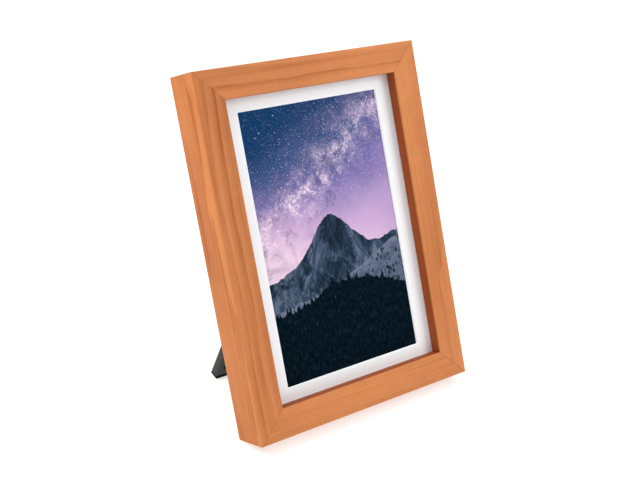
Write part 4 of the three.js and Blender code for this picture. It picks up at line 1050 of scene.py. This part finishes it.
class PHOTOFRAME_OT_mat(Operator):
    """Build the mat board with its bevelled window"""

    bl_idname = "photo_frame.mat"
    bl_label = "Mat board"

    def execute(self, context):
        picture = context.scene.frame_picture
        low, high = leaned_box("mat_board")
        near, far = low[1], high[1]
        thick = far - near
        ease = 0.06 * MM
        section = [
            (0, 0.0, far),
            (0, ease, far - ease),
            (0, thick - ease, near + 1.4 * ease),
            (0, thick + ease, near),
            (0.5, 0.0, near),
            (1, -ease, near),
            (1, 0.0, near + ease),
            (1, 0.0, far),
            (0.5, 0.0, far),
        ]
        window = (picture.width / 2, picture.height / 2)
        surface = window_surface((high[0], (high[2] - low[2]) / 2), window, section)
        piece(
            "window_mat",
            moved(surface, up=(high[2] + low[2]) / 2),
            "case",
            finish_of("mat"),
            ["mat_board"],
            crease=20,
        )
        return {"FINISHED"}


class PHOTOFRAME_OT_display(Operator):
    """Build the display panel that shows the picture, and the foam behind it"""

    bl_idname = "photo_frame.display"
    bl_label = "Display"

    def execute(self, context):
        panel = self.sheet("display_panel", 0.8 * MM, 0.12 * MM, 3)
        piece("picture_panel", panel, "case", finish_of("picture"), ["display_panel"])
        foam = self.sheet("panel_foam_pad", 2.5 * MM, 0.3 * MM, 5)
        pad = piece("foam_backing", foam, "case", finish_of("foam"), ["panel_foam_pad"])
        return {"FINISHED"}

    @staticmethod
    def sheet(node, corner, edge, steps):
        """A flat sheet in the place of a CAD node, with round corners and eased edges."""
        low, high = leaned_box(node)
        outline = rectangle((high[0] - low[0]) / 2, (high[2] - low[2]) / 2, corner)
        return moved(slab_surface(outline, eased(low[1], high[1], edge, steps)), up=(high[2] + low[2]) / 2)


# ---- Operators: rear cover and controls -------------------------------------------------------------------


def post(radius, low, high, across, up, sides=48):
    """A round post along the depth at one place."""
    return moved(slab_surface(circle(radius, sides), [(0.0, low), (0.0, high)]), across, 0.0, up)


def bar(half_across, half_up, low, high, across, up, radius=0.3 * MM, ease=0.0):
    """A rounded bar along the depth at one place."""
    profile = eased(low, high, ease, 4) if ease else [(0.0, low), (0.0, high)]
    return moved(slab_surface(rectangle(half_across, half_up, radius, 5), profile), across, 0.0, up)


def countersink(node, surface, neck, clearance=0.12 * MM):
    """The hole for a countersunk screw: its shank's bore and the cone of its head, open past the surface."""
    low, high = leaned_box(node)
    radius = (high[0] - low[0]) / 2 + clearance
    x, _, z = middle_of(node)
    rim, deep = 0.1 * MM, 5 * MM
    profile = [
        (radius - neck, surface - deep),
        (radius - neck, surface - (radius - neck) - rim),
        (0.0, surface - rim),
        (0.0, surface + PAST),
    ]
    return moved(slab_surface(circle(radius), profile), x, 0.0, z)


def numbered(stem, count):
    """Names of like nodes, from 1."""
    return [f"{stem}_{n + 1}" for n in range(count)]


COVER_SCREWS = numbered("cover_screw", 6)
BRACKET_SCREWS = numbered("bracket_screw", 4)
BUTTONS = numbered("button", 3)


class PHOTOFRAME_OT_cover(Operator):
    """Build the rear cover with its plug bay and the holes for screws and controls"""

    bl_idname = "photo_frame.cover"
    bl_label = "Rear cover"

    def execute(self, context):
        low, high = COVER
        half = ((high[0] - low[0]) / 2, (high[2] - low[2]) / 2)
        centre_up = (low[2] + high[2]) / 2
        corner, edge = 1.5 * MM, 0.45 * MM
        plate = slab_surface(rectangle(*half, corner), eased(COVER_INSIDE, COVER_OUTSIDE, edge))
        plate = moved(plate, up=centre_up)
        cover = piece("back_cover", plate, "case", finish_of("black"), ["rear_cover"])
        bay = self.bay()
        across, up, half_across, half_up, floor = bay
        shell = bar(
            half_across + BAY_WALL,
            half_up + BAY_WALL,
            floor - BAY_WALL,
            COVER_OUTSIDE - COVER_THICK / 3,
            across,
            up,
            1.4 * MM,
        )
        rib = moved(self.rib((half[0] - REBATE_SIDE, half[1] - REBATE_SIDE)), up=centre_up)
        carve(cover, [shell, rib], "UNION")
        carve(cover, self.openings(bay), crease=28)
        return {"FINISHED"}

    @staticmethod
    def bay():
        """Centre, half sizes and floor of the plug bay, from the sockets that open into it."""
        left = middle_of("usb_c_shell")[0] - USB_FROM_BAY_SIDE
        right = middle_of("memory_card")[0] + CARD_FROM_BAY_SIDE
        top = leaned_box("usb_c_shell")[0][2] - SOCKET_ROOM
        floor = COVER[0][1] + BAY_WALL
        return (left + right) / 2, top - BAY_HEIGHT / 2, (right - left) / 2, BAY_HEIGHT / 2, floor

    @staticmethod
    def rib(half):
        """The rib round the inside of the cover: a thin wall carried round a rectangle."""
        low, high = COVER_INSIDE - RIB_DEEP, COVER_INSIDE + 0.4 * MM
        section = [(0, 0.0, low), (0, 0.0, high), (1, 0.0, high), (1, 0.0, low)]
        return window_surface(half, (half[0] - RIB_THICK, half[1] - RIB_THICK), section)

    @staticmethod
    def openings(bay):
        """Everything that is cut through the cover."""
        across, up, half_across, half_up, floor = bay
        low, high = COVER_INSIDE - PAST, COVER_OUTSIDE + PAST
        lip = 0.01 * MM

        def mouth(bottom, deep, flare):
            """Profile of a hole whose rim flares out over a depth."""
            rim = [(0.0, COVER_OUTSIDE - deep), (-flare, COVER_OUTSIDE + lip), (-flare, high)]
            return [(0.0, bottom), *rim]

        recess = slab_surface(rectangle(half_across, half_up, 1.0 * MM), mouth(floor, 0.35 * MM, 0.35 * MM))
        cuts = [moved(recess, across, 0.0, up)]
        for name in BUTTONS:
            x, _, z = middle_of(name)
            hole = slab_surface(circle(BUTTON_RADIUS + 0.22 * MM), mouth(low, 0.25 * MM, 0.25 * MM))
            cuts.append(moved(hole, x, 0.0, z))
        x, _, z = middle_of("power_slider")
        half_slot = SLIDER_HALF[0] + SLIDER_TRAVEL / 2 + GAP
        cuts.append(bar(half_slot, SLIDER_HALF[1] + 0.25 * MM, low, high, x + SLIDER_TRAVEL / 2, z, 0.4 * MM))
        x, _, z = middle_of("light_pipe")
        cuts.append(post(LIGHT_RADIUS + 0.15 * MM, low, high, x, z))
        cuts += [countersink(name, COVER_OUTSIDE, 1.6 * MM) for name in COVER_SCREWS]
        for name in BRACKET_SCREWS:
            x, _, z = middle_of(name)
            cuts.append(post(1.4 * MM, low, high, x, z, sides=24))
        cuts.append(bay_slot("usb_c_shell", USB_HALF[0] + 0.25 * MM, USB_HALF[1] + 0.25 * MM, up + half_up))
        cuts.append(bay_slot("memory_card", CARD_HALF[0] + 0.6 * MM, CARD_HALF[1] + 0.5 * MM, up + half_up))
        return cuts


def bay_slot(node, half_across, half_deep, top):
    """A slot through the bay's upper wall, along the up direction, for the socket or card of this node."""
    outline = rectangle(half_across, half_deep, 0.95 * half_deep, 8)
    points, faces = slab_surface(outline, [(0.0, top - PAST), (0.0, top + 3 * PAST)])
    x, y, _ = middle_of(node)
    return np.stack([points[:, 0] + x, points[:, 2] + y, points[:, 1]], 1), faces


class PHOTOFRAME_OT_controls(Operator):
    """Build the three buttons, the power slider and the light pipe"""

    bl_idname = "photo_frame.controls"
    bl_label = "Controls"

    def execute(self, context):
        for name, body in zip(BUTTONS, ("button_left", "button_middle", "button_right")):
            self.button(name, body)
        self.slider()
        self.light_pipe()
        return {"FINISHED"}

    @staticmethod
    def button(name, body):
        """A round cap, turned about its axis: flange, stem, rounded rim and a shallow dish on top, whose
        depth falls as the square of the radius."""
        low, high = leaned_box(name)
        x, _, z = middle_of(name)
        flange, top = (high[0] - low[0]) / 2, high[1]
        nub, shoulder = flange - NUB_RADIUS, flange - BUTTON_RADIUS
        flange_back = COVER_INSIDE - GAP
        flange_front = flange_back - FLANGE_THICK
        rim = np.linspace(0, math.pi / 2, 6)
        ring = np.linspace(1, 0.04, 10)
        ease, dish = 0.45 * MM, 0.35 * MM
        profile = [(nub, low[1]), (nub, flange_front), (0.0, flange_front)]
        profile += [(0.0, flange_back), (shoulder, flange_back)]
        profile += [(shoulder + ease * (1 - math.cos(a)), top - ease + ease * math.sin(a)) for a in rim]
        face = BUTTON_RADIUS - ease
        profile += [(flange - face * r, top - dish * (1 - r * r)) for r in ring[1:]]
        piece(
            "cap_" + name,
            moved(slab_surface(circle(flange, 64), profile), x, 0.0, z),
            body,
            finish_of("control"),
            [name],
            crease=40,
        )

    @staticmethod
    def slider():
        """The power slider: a flange under the cover, a knob with three grooves and the pin below."""
        low, high = leaned_box("power_slider")
        x, _, z = middle_of("power_slider")
        half_across, half_up = (high[0] - low[0]) / 2, (high[2] - low[2]) / 2
        flange_back = COVER_INSIDE - GAP
        knob = bar(*SLIDER_HALF, flange_back - 0.6 * MM, high[1], x, z, 0.35 * MM, 0.22 * MM)
        flange = bar(half_across, half_up, flange_back - FLANGE_THICK, flange_back, x, z)
        pin = bar(*SLIDER_PIN_HALF, low[1], flange_back - 0.5 * MM, x, z, 0.15 * MM)
        made = piece(
            "cap_power_slider", knob, "slider", finish_of("control"), ["power_slider"]
        )
        carve(made, [flange, pin], "UNION")
        half_groove, groove_depth = 0.22 * MM, 0.35 * MM
        grooves = [
            bar(half_groove, 2 * MM, high[1] - groove_depth, high[1] + PAST, x + shift * MM, z, 0.1 * MM)
            for shift in (-1.2, -0.4, 0.4, 1.2)
        ]
        carve(made, grooves)

    @staticmethod
    def light_pipe():
        """The clear light pipe: a rod with a collar and a slightly domed face."""
        low, high = leaned_box("light_pipe")
        x, _, z = middle_of("light_pipe")
        radius = (high[0] - low[0]) / 2
        step = radius - LIGHT_RADIUS
        back = COVER_INSIDE - GAP
        front = back - FLANGE_THICK
        rise = 0.25 * MM
        dome = np.linspace(0, math.pi / 2, 6)[:-1]
        profile = [(step, low[1]), (step, front), (0.0, front), (0.0, back), (step, back)]
        rod = LIGHT_RADIUS
        profile += [(step + rod * (1 - math.cos(a)), high[1] - rise * (1 - math.sin(a))) for a in dome]
        piece(
            "light_window",
            moved(slab_surface(circle(radius, 40), profile), x, 0.0, z),
            "case",
            finish_of("clear"),
            ["light_pipe"],
        )


# ---- Operators: screws ------------------------------------------------------------------------------------


def screw_surface(head, shank, top, cone, end, sides=48, rings=14):
    """A countersunk screw: the head's face is a grid of rings whose height drops into a cross, where the
    distance to either arm is under half the arm's width, and the rest is turned: cone, shank and point."""
    angle = np.linspace(0, 2 * math.pi, sides, endpoint=False)
    ring = np.linspace(0.06, 0.97, rings)[::-1]
    radius, turn = np.meshgrid(ring * head, angle, indexing="ij")
    across, up = radius * np.cos(turn), radius * np.sin(turn)
    arm = np.minimum(np.abs(across), np.abs(up))
    reach = np.maximum(np.abs(across), np.abs(up))
    half, length = 0.17 * head, 0.62 * head
    beside = np.clip((half - arm) / (0.06 * head) + 0.5, 0, 1)
    inside = beside * np.clip((length - reach) / (0.08 * head), 0, 1)
    depth = top - 0.62 * cone * inside * (1 - 0.45 * reach / length)
    face = np.stack([across, depth, up], 2)
    side = np.array(
        [
            (0.15 * shank, end),
            (shank, end + 1.6 * shank),
            (shank, top - cone),
            (0.985 * head, top - 0.10 * cone),
            (head, top - 0.04 * cone),
            (0.99 * head, top),
        ]
    )
    radius, deep = side[:, :1], np.broadcast_to(side[:, 1:], (len(side), sides))
    turned = np.stack([radius * np.cos(angle), deep, radius * np.sin(angle)], 2)
    grid = np.concatenate([turned, face])
    return grid.reshape(-1, 3), ring_faces(len(grid), sides)


class PHOTOFRAME_OT_screws(Operator):
    """Build the countersunk screws of the cover and the bracket"""

    bl_idname = "photo_frame.screws"
    bl_label = "Screws"

    def execute(self, context):
        for name in COVER_SCREWS + BRACKET_SCREWS:
            low, high = leaned_box(name)
            x, _, z = middle_of(name)
            head = (high[0] - low[0]) / 2
            surface = screw_surface(head, 0.5 * head, high[1], SCREW_CONES[name.split("_")[0]], low[1])
            turn = math.radians(steady_number(name) % 90)
            piece(
                "head_" + name,
                moved(spun(surface, turn), x, 0.0, z),
                "case",
                finish_of("screw"),
                [name],
                crease=50,
            )
        return {"FINISHED"}


def steady_number(name):
    """A whole number for a name, the same at every run: its letters' codes times their places, added up."""
    return sum((place + 1) * ord(letter) for place, letter in enumerate(name))


# ---- Operators: hinge and leg -----------------------------------------------------------------------------


class PHOTOFRAME_OT_hinge(Operator):
    """Build the hinge bracket with its two ears, and the pin"""

    bl_idname = "photo_frame.hinge"
    bl_label = "Hinge"

    def execute(self, context):
        self.bracket()
        self.pin()
        return {"FINISHED"}

    @staticmethod
    def bracket():
        """A plate with rounded corners and two ears, each an outline carried across with eased edges."""
        low, high = leaned_box("hinge_bracket")
        plate_back = low[1] + BRACKET_THICK
        centre_up = (low[2] + high[2]) / 2
        outline = rectangle(high[0], (high[2] - low[2]) / 2, 2.2 * MM)
        made = piece(
            "leg_bracket",
            moved(slab_surface(outline, eased(low[1], plate_back, 0.4 * MM)), up=centre_up),
            "case",
            finish_of("black"),
            ["hinge_bracket"],
        )
        _, axis_depth, axis_up = HINGE_LEANED
        radius = high[1] - axis_depth
        root = plate_back - 0.5 * MM - axis_depth
        corners = [(root, -EAR_FOOT), (radius, -radius), (radius, radius), (root, EAR_FOOT)]
        ear = rounded(corners, [0.05 * MM, 0.98 * radius, 0.98 * radius, 0.05 * MM], 12)
        inner, outer = high[0] - EAR_THICK, high[0]
        ears = [
            carried_across(slab_surface(ear, eased(start, stop, 0.4 * MM)), axis_depth, axis_up)
            for start, stop in ((-outer, -inner), (inner, outer))
        ]
        carve(made, ears, "UNION")
        ends = [(0.0, -outer - PAST), (0.0, outer + PAST)]
        bore = crosswise(slab_surface(circle(PIN_RADIUS + 0.12 * MM), ends))
        cuts = [moved(bore, 0.0, axis_depth, axis_up)]
        cuts += [countersink(name, plate_back, 1.3 * MM) for name in BRACKET_SCREWS]
        carve(made, cuts)

    @staticmethod
    def pin():
        """The steel pin: a rod turned about the hinge axis, with a domed head at each end."""
        low, high = leaned_box("hinge_pin")
        head, half, cap = (high[1] - low[1]) / 2, high[0], 0.8 * MM
        dome = np.linspace(0, math.pi / 2, 7)[:-1]
        curve = [(head * (1 - math.cos(a)), half - 0.55 * cap * (1 - math.sin(a))) for a in dome]
        right = [(0.05 * MM, half - cap), (0.0, half - 0.9 * cap)] + curve
        left = [(inset, -depth) for inset, depth in right[::-1]]
        rod = head - PIN_RADIUS
        profile = left + [(rod, -half + cap), (rod, half - cap)] + right
        piece(
            "leg_pin",
            moved(crosswise(slab_surface(circle(head, 40), profile)), 0.0, HINGE_LEANED[1], HINGE_LEANED[2]),
            "case",
            finish_of("steel"),
            ["hinge_pin"],
        )


LEG_ANGLE = LEG_OPEN - LEAN
LEG = leaned_box("easel_leg", LEG_ANGLE)
STRIP = leaned_box("leg_foot_strip", LEG_ANGLE)
HINGE_LEG = tilted([HINGE], -LEG_ANGLE)[0]


class PHOTOFRAME_OT_leg(Operator):
    """Build the moulded easel leg with its ribs, and the rubber strip on its foot"""

    bl_idname = "photo_frame.leg"
    bl_label = "Easel leg"

    def execute(self, context):
        moulding = context.scene.frame_moulding
        self.leg(moulding)
        self.strip()
        return {"FINISHED"}

    @staticmethod
    def leg(moulding):
        """The leg's outline carried through its thickness with rounded edges, joined to its knuckle, less the
        pockets between the ribs, whose walls lean outwards a little."""
        low, high = LEG
        front, back = HINGE_LEG[1] - LEG_HALF_THICK, HINGE_LEG[1] + LEG_HALF_THICK
        axis, bottom = HINGE_LEG[2], low[2]
        head_top = axis + 2.5 * MM
        neck_top = axis - LEG_SHOULDER
        neck_bottom = neck_top - LEG_SHOULDER_LENGTH
        wide = (high[0] - low[0]) / 2
        corners = [
            (-wide, bottom),
            (wide, bottom),
            (LEG_NECK, neck_bottom),
            (LEG_HEAD, neck_top),
            (LEG_HEAD, head_top),
            (-LEG_HEAD, head_top),
            (-LEG_HEAD, neck_top),
            (-LEG_NECK, neck_bottom),
        ]
        radii = np.array([0.4, 0.4, 6, 3, 0.6, 0.6, 3, 6]) * MM
        surface = slab_surface(rounded(corners, radii, 8), eased(front, back, moulding.edge, 5))
        made = piece(
            "leg_moulding", surface, "leg", finish_of("black"), ["easel_leg"], LEG_ANGLE
        )
        step = 0.03 * MM  # the knuckle and the heel stay this much inside each other's ends
        knuckle_end, heel_end = LEG_HEAD - step, LEG_HEAD - 2 * step
        barrel = eased(-knuckle_end, knuckle_end, 0.4 * MM)
        knuckle = crosswise(slab_surface(circle(KNUCKLE_RADIUS, 56), barrel))
        heel = PHOTOFRAME_OT_leg.heel(heel_end, high[2] - axis)
        carve(made, [moved(knuckle, 0.0, HINGE_LEG[1], axis), heel], "UNION", LEG_ANGLE)
        ends = [(0.0, -LEG_HEAD - PAST), (0.0, LEG_HEAD + PAST)]
        bore = crosswise(slab_surface(circle(PIN_RADIUS + 0.25 * MM, 32), ends))
        cuts = [moved(bore, 0.0, HINGE_LEG[1], axis)]
        cuts += PHOTOFRAME_OT_leg.pockets(moulding, wide, bottom, neck_bottom, front, back)
        carve(made, cuts, "DIFFERENCE", LEG_ANGLE)

    @staticmethod
    def heel(end, upper):
        """The stop above the knuckle: a section drawn in depth and up from the hinge axis, carried across the
        leg, whose front is cut to lie along the bracket when the leg is open."""
        clear = leaned_box("hinge_bracket")[0][1] + BRACKET_THICK + GAP - HINGE_LEANED[1]
        tangent, slanted = math.tan(LEG_OPEN), clear / math.cos(LEG_OPEN)
        section = [
            (-LEG_HALF_THICK, -PAST),
            (LEG_HALF_THICK, -PAST),
            (LEG_HALF_THICK, upper),
            (slanted + upper * tangent, upper),
            (-LEG_HALF_THICK, (-LEG_HALF_THICK - slanted) / tangent),
        ]
        outline = rounded(section, np.array([0.1, 0.1, 0.6, 0.3, 0.2]) * MM, 5)
        return carried_across(slab_surface(outline, eased(-end, end, 0.3 * MM)), *HINGE_LEG[1:])

    @staticmethod
    def pockets(moulding, wide, bottom, neck_bottom, front, back):
        """Three pockets across and four down, following the leg's flare."""
        rib, rows = moulding.rib, 4
        top, low = neck_bottom - 2 * rib, bottom + 2 * rib
        pitch = (top - low) / rows
        flare = (wide - LEG_NECK) / (neck_bottom - bottom)
        column = LEG_NECK / 3
        floor = back - moulding.skin
        draft = [(-0.15 * MM, front - PAST), (0.0, front), (0.12 * MM, floor - 0.5 * MM), (0.6 * MM, floor)]
        made = []
        for row in range(rows):
            high = top - row * pitch - rib / 2
            deep = top - (row + 1) * pitch + rib / 2
            at_deep, at_high = (LEG_NECK + flare * (neck_bottom - z) - 2 * rib for z in (deep, high))
            right = [(column + rib, deep), (at_deep, deep), (at_high, high), (column + rib, high)]
            left = [(-x, z) for x, z in right][::-1]
            centre = [(-column, deep), (column, deep), (column, high), (-column, high)]
            for corners in (left, centre, right):
                made.append(slab_surface(rounded(corners, 1.0 * MM, 5), draft))
        return made

    @staticmethod
    def strip():
        """The rubber foot: a bar with rounded ends and a facet underneath that lies on the table."""
        low, high = STRIP
        front, back = low[1], high[1]
        wide = high[0]
        narrow = wide - 0.5 * MM
        corners = [(-wide, low[2]), (wide, low[2]), (narrow, high[2]), (-narrow, high[2])]
        outline = rounded(corners, np.array([1.5, 1.5, 0.15, 0.15]) * MM, 8)
        made = piece(
            "foot_rubber",
            slab_surface(outline, eased(front, back, 0.5 * MM, 5)),
            "leg",
            finish_of("rubber"),
            ["leg_foot_strip"],
            LEG_ANGLE,
        )
        slope, reach = math.tan(LEG_ANGLE), 3 * MM
        section = [
            (front - reach, low[2] - reach),
            (front + FOOT_FACET + reach / slope, low[2] - reach),
            (front + FOOT_FACET, low[2]),
            (front - reach, low[2] + (FOOT_FACET + reach) * slope),
        ]
        ends = [(0.0, -wide - PAST), (0.0, wide + PAST)]
        wedge = carried_across(slab_surface(rounded(section, 0.01 * MM, 2), ends))
        carve(made, [wedge], "DIFFERENCE", LEG_ANGLE)


# ---- Operators: sockets and inner pieces ------------------------------------------------------------------


class PHOTOFRAME_OT_sockets(Operator):
    """Build the memory card with its grip ridge"""

    bl_idname = "photo_frame.sockets"
    bl_label = "Sockets and card"

    def execute(self, context):
        low, high = leaned_box("memory_card")
        notch, notch_start, notch_slope = 1.4 * MM, 4 * MM, 1.5 * MM
        corners = [
            (low[0], low[2]),
            (high[0], low[2]),
            (high[0], high[2] - notch_start - notch_slope),
            (high[0] - notch, high[2] - notch_start),
            (high[0] - notch, high[2]),
            (low[0], high[2]),
        ]
        outline = rounded(corners, 0.6 * MM, 5)
        card = piece(
            "small_memory_card",
            slab_surface(outline, eased(low[1], high[1], 0.12 * MM, 3)),
            "card",
            finish_of("chip"),
            ["memory_card"],
        )
        x = middle_of("memory_card")[0]
        sunk, proud, half_grip, half_ridge = 0.05 * MM, 0.28 * MM, 3.6 * MM, 0.35 * MM
        ridge = bar(half_grip, half_ridge, high[1] - sunk, high[1] + proud, x, low[2] + 1.0 * MM)
        carve(card, [ridge], "UNION")
        return {"FINISHED"}


class PHOTOFRAME_OT_inner_pieces(Operator):
    """Give the pieces that keep their shape their finishes"""

    bl_idname = "photo_frame.inner_pieces"
    bl_label = "Inner pieces"

    finishes = {
        "display_tray": "tray",
        "display_ribbon": "film",
        "ribbon_connector": "ivory",
        "control_board": "board",
        "processor_chip": "chip",
        "boost_coil": "ferrite",
        "wireless_module": "board",
        "wireless_shield": "tinned",
        "usb_c_shell": "tinned",
        "usb_c_tongue": "chip",
        "card_socket": "tinned",
        "battery_cell": "foil",
        "battery_socket": "ivory",
        "battery_plug": "ivory",
        "battery_wire_red": "red",
        "battery_wire_black": "wire",
        "power_switch_body": "tinned",
        "status_led": "ivory",
    }

    def execute(self, context):
        wanted = dict(self.finishes)
        wanted.update({name: "chip" for name in numbered("tact_switch", 3)})
        wanted.update({name: "steel" for name in numbered("board_screw", 4)})
        for node, finish in wanted.items():
            mesh = frame["nodes"][node].data
            mesh.materials.clear()
            mesh.materials.append(finish_of(finish))
        return {"FINISHED"}


# ---- Operator: stage --------------------------------------------------------------------------------------


CAMERA_PLACE = (-0.33243, -0.47676, 0.33043)
CAMERA_TURN = (68.287, 0.203, -34.890)  # degrees about X, Y and Z
LAMP_AIM = (0.0, 0.0, 0.10)
LAMP_SIZE = 0.3
KEY_PLACE = (0.36, -0.44, 0.44)
KEY_COLOUR = (1.0, 0.99, 0.98)
SIDE_PLACE = (-0.52, 0.18, 0.66)
SIDE_COLOUR = (1.0, 0.88, 0.58)
FLOOR_RADIUS = 14.0


class PHOTOFRAME_OT_stage(Operator):
    """Set the pale floor, the soft lights and the camera"""

    bl_idname = "photo_frame.stage"
    bl_label = "Stage"

    def execute(self, context):
        stage = context.scene.frame_stage
        self.floor(stage)
        self.surround(context.scene, stage)
        self.light("key_light", KEY_PLACE, stage.key, KEY_COLOUR)
        self.light("side_light", SIDE_PLACE, stage.side, SIDE_COLOUR)
        self.camera(context.scene, stage)
        context.scene.view_settings.view_transform = "Standard"
        return {"FINISHED"}

    @staticmethod
    def floor(stage):
        """A wide disc: rings whose radius grows by the square, flat on the floor."""
        ring = np.linspace(0.02, 1, 24) ** 2 * FLOOR_RADIUS
        angle = np.linspace(0, 2 * math.pi, 72, endpoint=False)
        flat = ring[:, None, None] * np.stack([np.cos(angle), np.sin(angle)], 1)[None]
        points = np.concatenate([flat, np.zeros((*flat.shape[:2], 1))], 2).reshape(-1, 3)
        index = np.arange(len(ring) * len(angle)).reshape(len(ring), -1)
        beside = np.roll(index, -1, 1)
        faces = np.stack([index[:-1], index[1:], beside[1:], beside[:-1]], 2).reshape(-1, 4).tolist()
        faces.append(index[0].tolist())
        mesh = bpy.data.meshes.new("floor")
        mesh.from_pydata(points.tolist(), [], faces)
        floor = bpy.data.objects.new("floor", mesh)
        bpy.context.scene.collection.objects.link(floor)
        recipe = Recipe.of_material("pale_floor")
        cloud = recipe.noise(recipe.object_place(), 3.0, 2.0)
        tint = tuple(stage.floor)
        mesh.materials.append(
            recipe.finish(
                base_color=recipe.mix(cloud, tint, darker(tint, 0.99)),
                roughness=0.9,
                specular_ior_level=0.1,
                emission_color=(1.0, 1.0, 1.0, 1.0),
                emission_strength=stage.glow,
            )
        )

    @staticmethod
    def surround(scene, stage):
        """A white dome, seen as plain white, that lights the stage from overhead: its strength is the fill
        plus the dome's strength times the upward part of the direction."""
        scene.world = bpy.data.worlds.new("surround")
        recipe = Recipe(scene.world)
        _, _, upward = recipe.split(recipe.node("TexCoord", {}, {}, out="Generated"))
        seen = recipe.node("LightPath", {}, {}, out="Is Camera Ray")
        dome = upward.clamped() * stage.dome + stage.fill
        strength = seen + (1 - seen) * dome
        background = recipe.node("Background", {}, {"Color": (1.0, 1.0, 1.0, 1.0), "Strength": strength})
        recipe.node("OutputWorld", {}, {"Surface": background}, out=None)

    @staticmethod
    def light(name, place, power, colour):
        """A square area light that faces the middle of the object."""
        lamp = bpy.data.lights.new(name, "AREA")
        lamp.shape = "SQUARE"
        lamp.size = LAMP_SIZE
        lamp.energy = power
        lamp.color = colour
        made = bpy.data.objects.new(name, lamp)
        bpy.context.scene.collection.objects.link(made)
        direction = np.array(LAMP_AIM) - np.array(place)
        level = math.hypot(direction[0], direction[1])
        made.location = place
        made.rotation_euler = (
            math.atan2(level, -direction[2]),
            0.0,
            math.atan2(-direction[0], direction[1]),
        )

    @staticmethod
    def camera(scene, stage):
        """The camera, from the front left and a little above."""
        lens = bpy.data.cameras.new("camera")
        lens.lens = stage.lens
        lens.sensor_width = 36.0
        lens.clip_start = 0.01
        lens.clip_end = 60.0
        made = bpy.data.objects.new("camera", lens)
        scene.collection.objects.link(made)
        made.location = CAMERA_PLACE
        made.rotation_euler = [math.radians(angle) for angle in CAMERA_TURN]
        scene.camera = made


# ---- Panel and registration -------------------------------------------------------------------------------


OPERATORS = (
    PHOTOFRAME_OT_finishes,
    PHOTOFRAME_OT_stage,
    PHOTOFRAME_OT_rails,
    PHOTOFRAME_OT_nails,
    PHOTOFRAME_OT_mat,
    PHOTOFRAME_OT_display,
    PHOTOFRAME_OT_cover,
    PHOTOFRAME_OT_controls,
    PHOTOFRAME_OT_screws,
    PHOTOFRAME_OT_hinge,
    PHOTOFRAME_OT_leg,
    PHOTOFRAME_OT_sockets,
    PHOTOFRAME_OT_inner_pieces,
)


class PHOTOFRAME_PT_pieces(Panel):
    """Lists the pieces of the photo frame in the sidebar"""

    bl_label = "Photo frame"
    bl_space_type = "VIEW_3D"
    bl_region_type = "UI"
    bl_category = "Photo frame"

    def draw(self, context):
        for operator in OPERATORS:
            self.layout.operator(operator.bl_idname)
        for name, group in SETTINGS.items():
            box = self.layout.box()
            box.label(text=group.__doc__)
            for setting in group.__annotations__:
                box.prop(getattr(context.scene, name), setting)


def register():
    for group in SETTINGS.values():
        bpy.utils.register_class(group)
    for cls in (*OPERATORS, PHOTOFRAME_PT_pieces):
        bpy.utils.register_class(cls)
    for name, group in SETTINGS.items():
        setattr(bpy.types.Scene, name, PointerProperty(type=group))


def unregister():
    for name in SETTINGS:
        delattr(bpy.types.Scene, name)
    for cls in (*OPERATORS, PHOTOFRAME_PT_pieces):
        bpy.utils.unregister_class(cls)
    for group in SETTINGS.values():
        bpy.utils.unregister_class(group)


def main():
    """Registers the add-on and builds everything in order."""
    register()
    for operator in OPERATORS:
        group, name = operator.bl_idname.split(".")
        getattr(getattr(bpy.ops, group), name)()


if __name__ == "__main__":
    main()
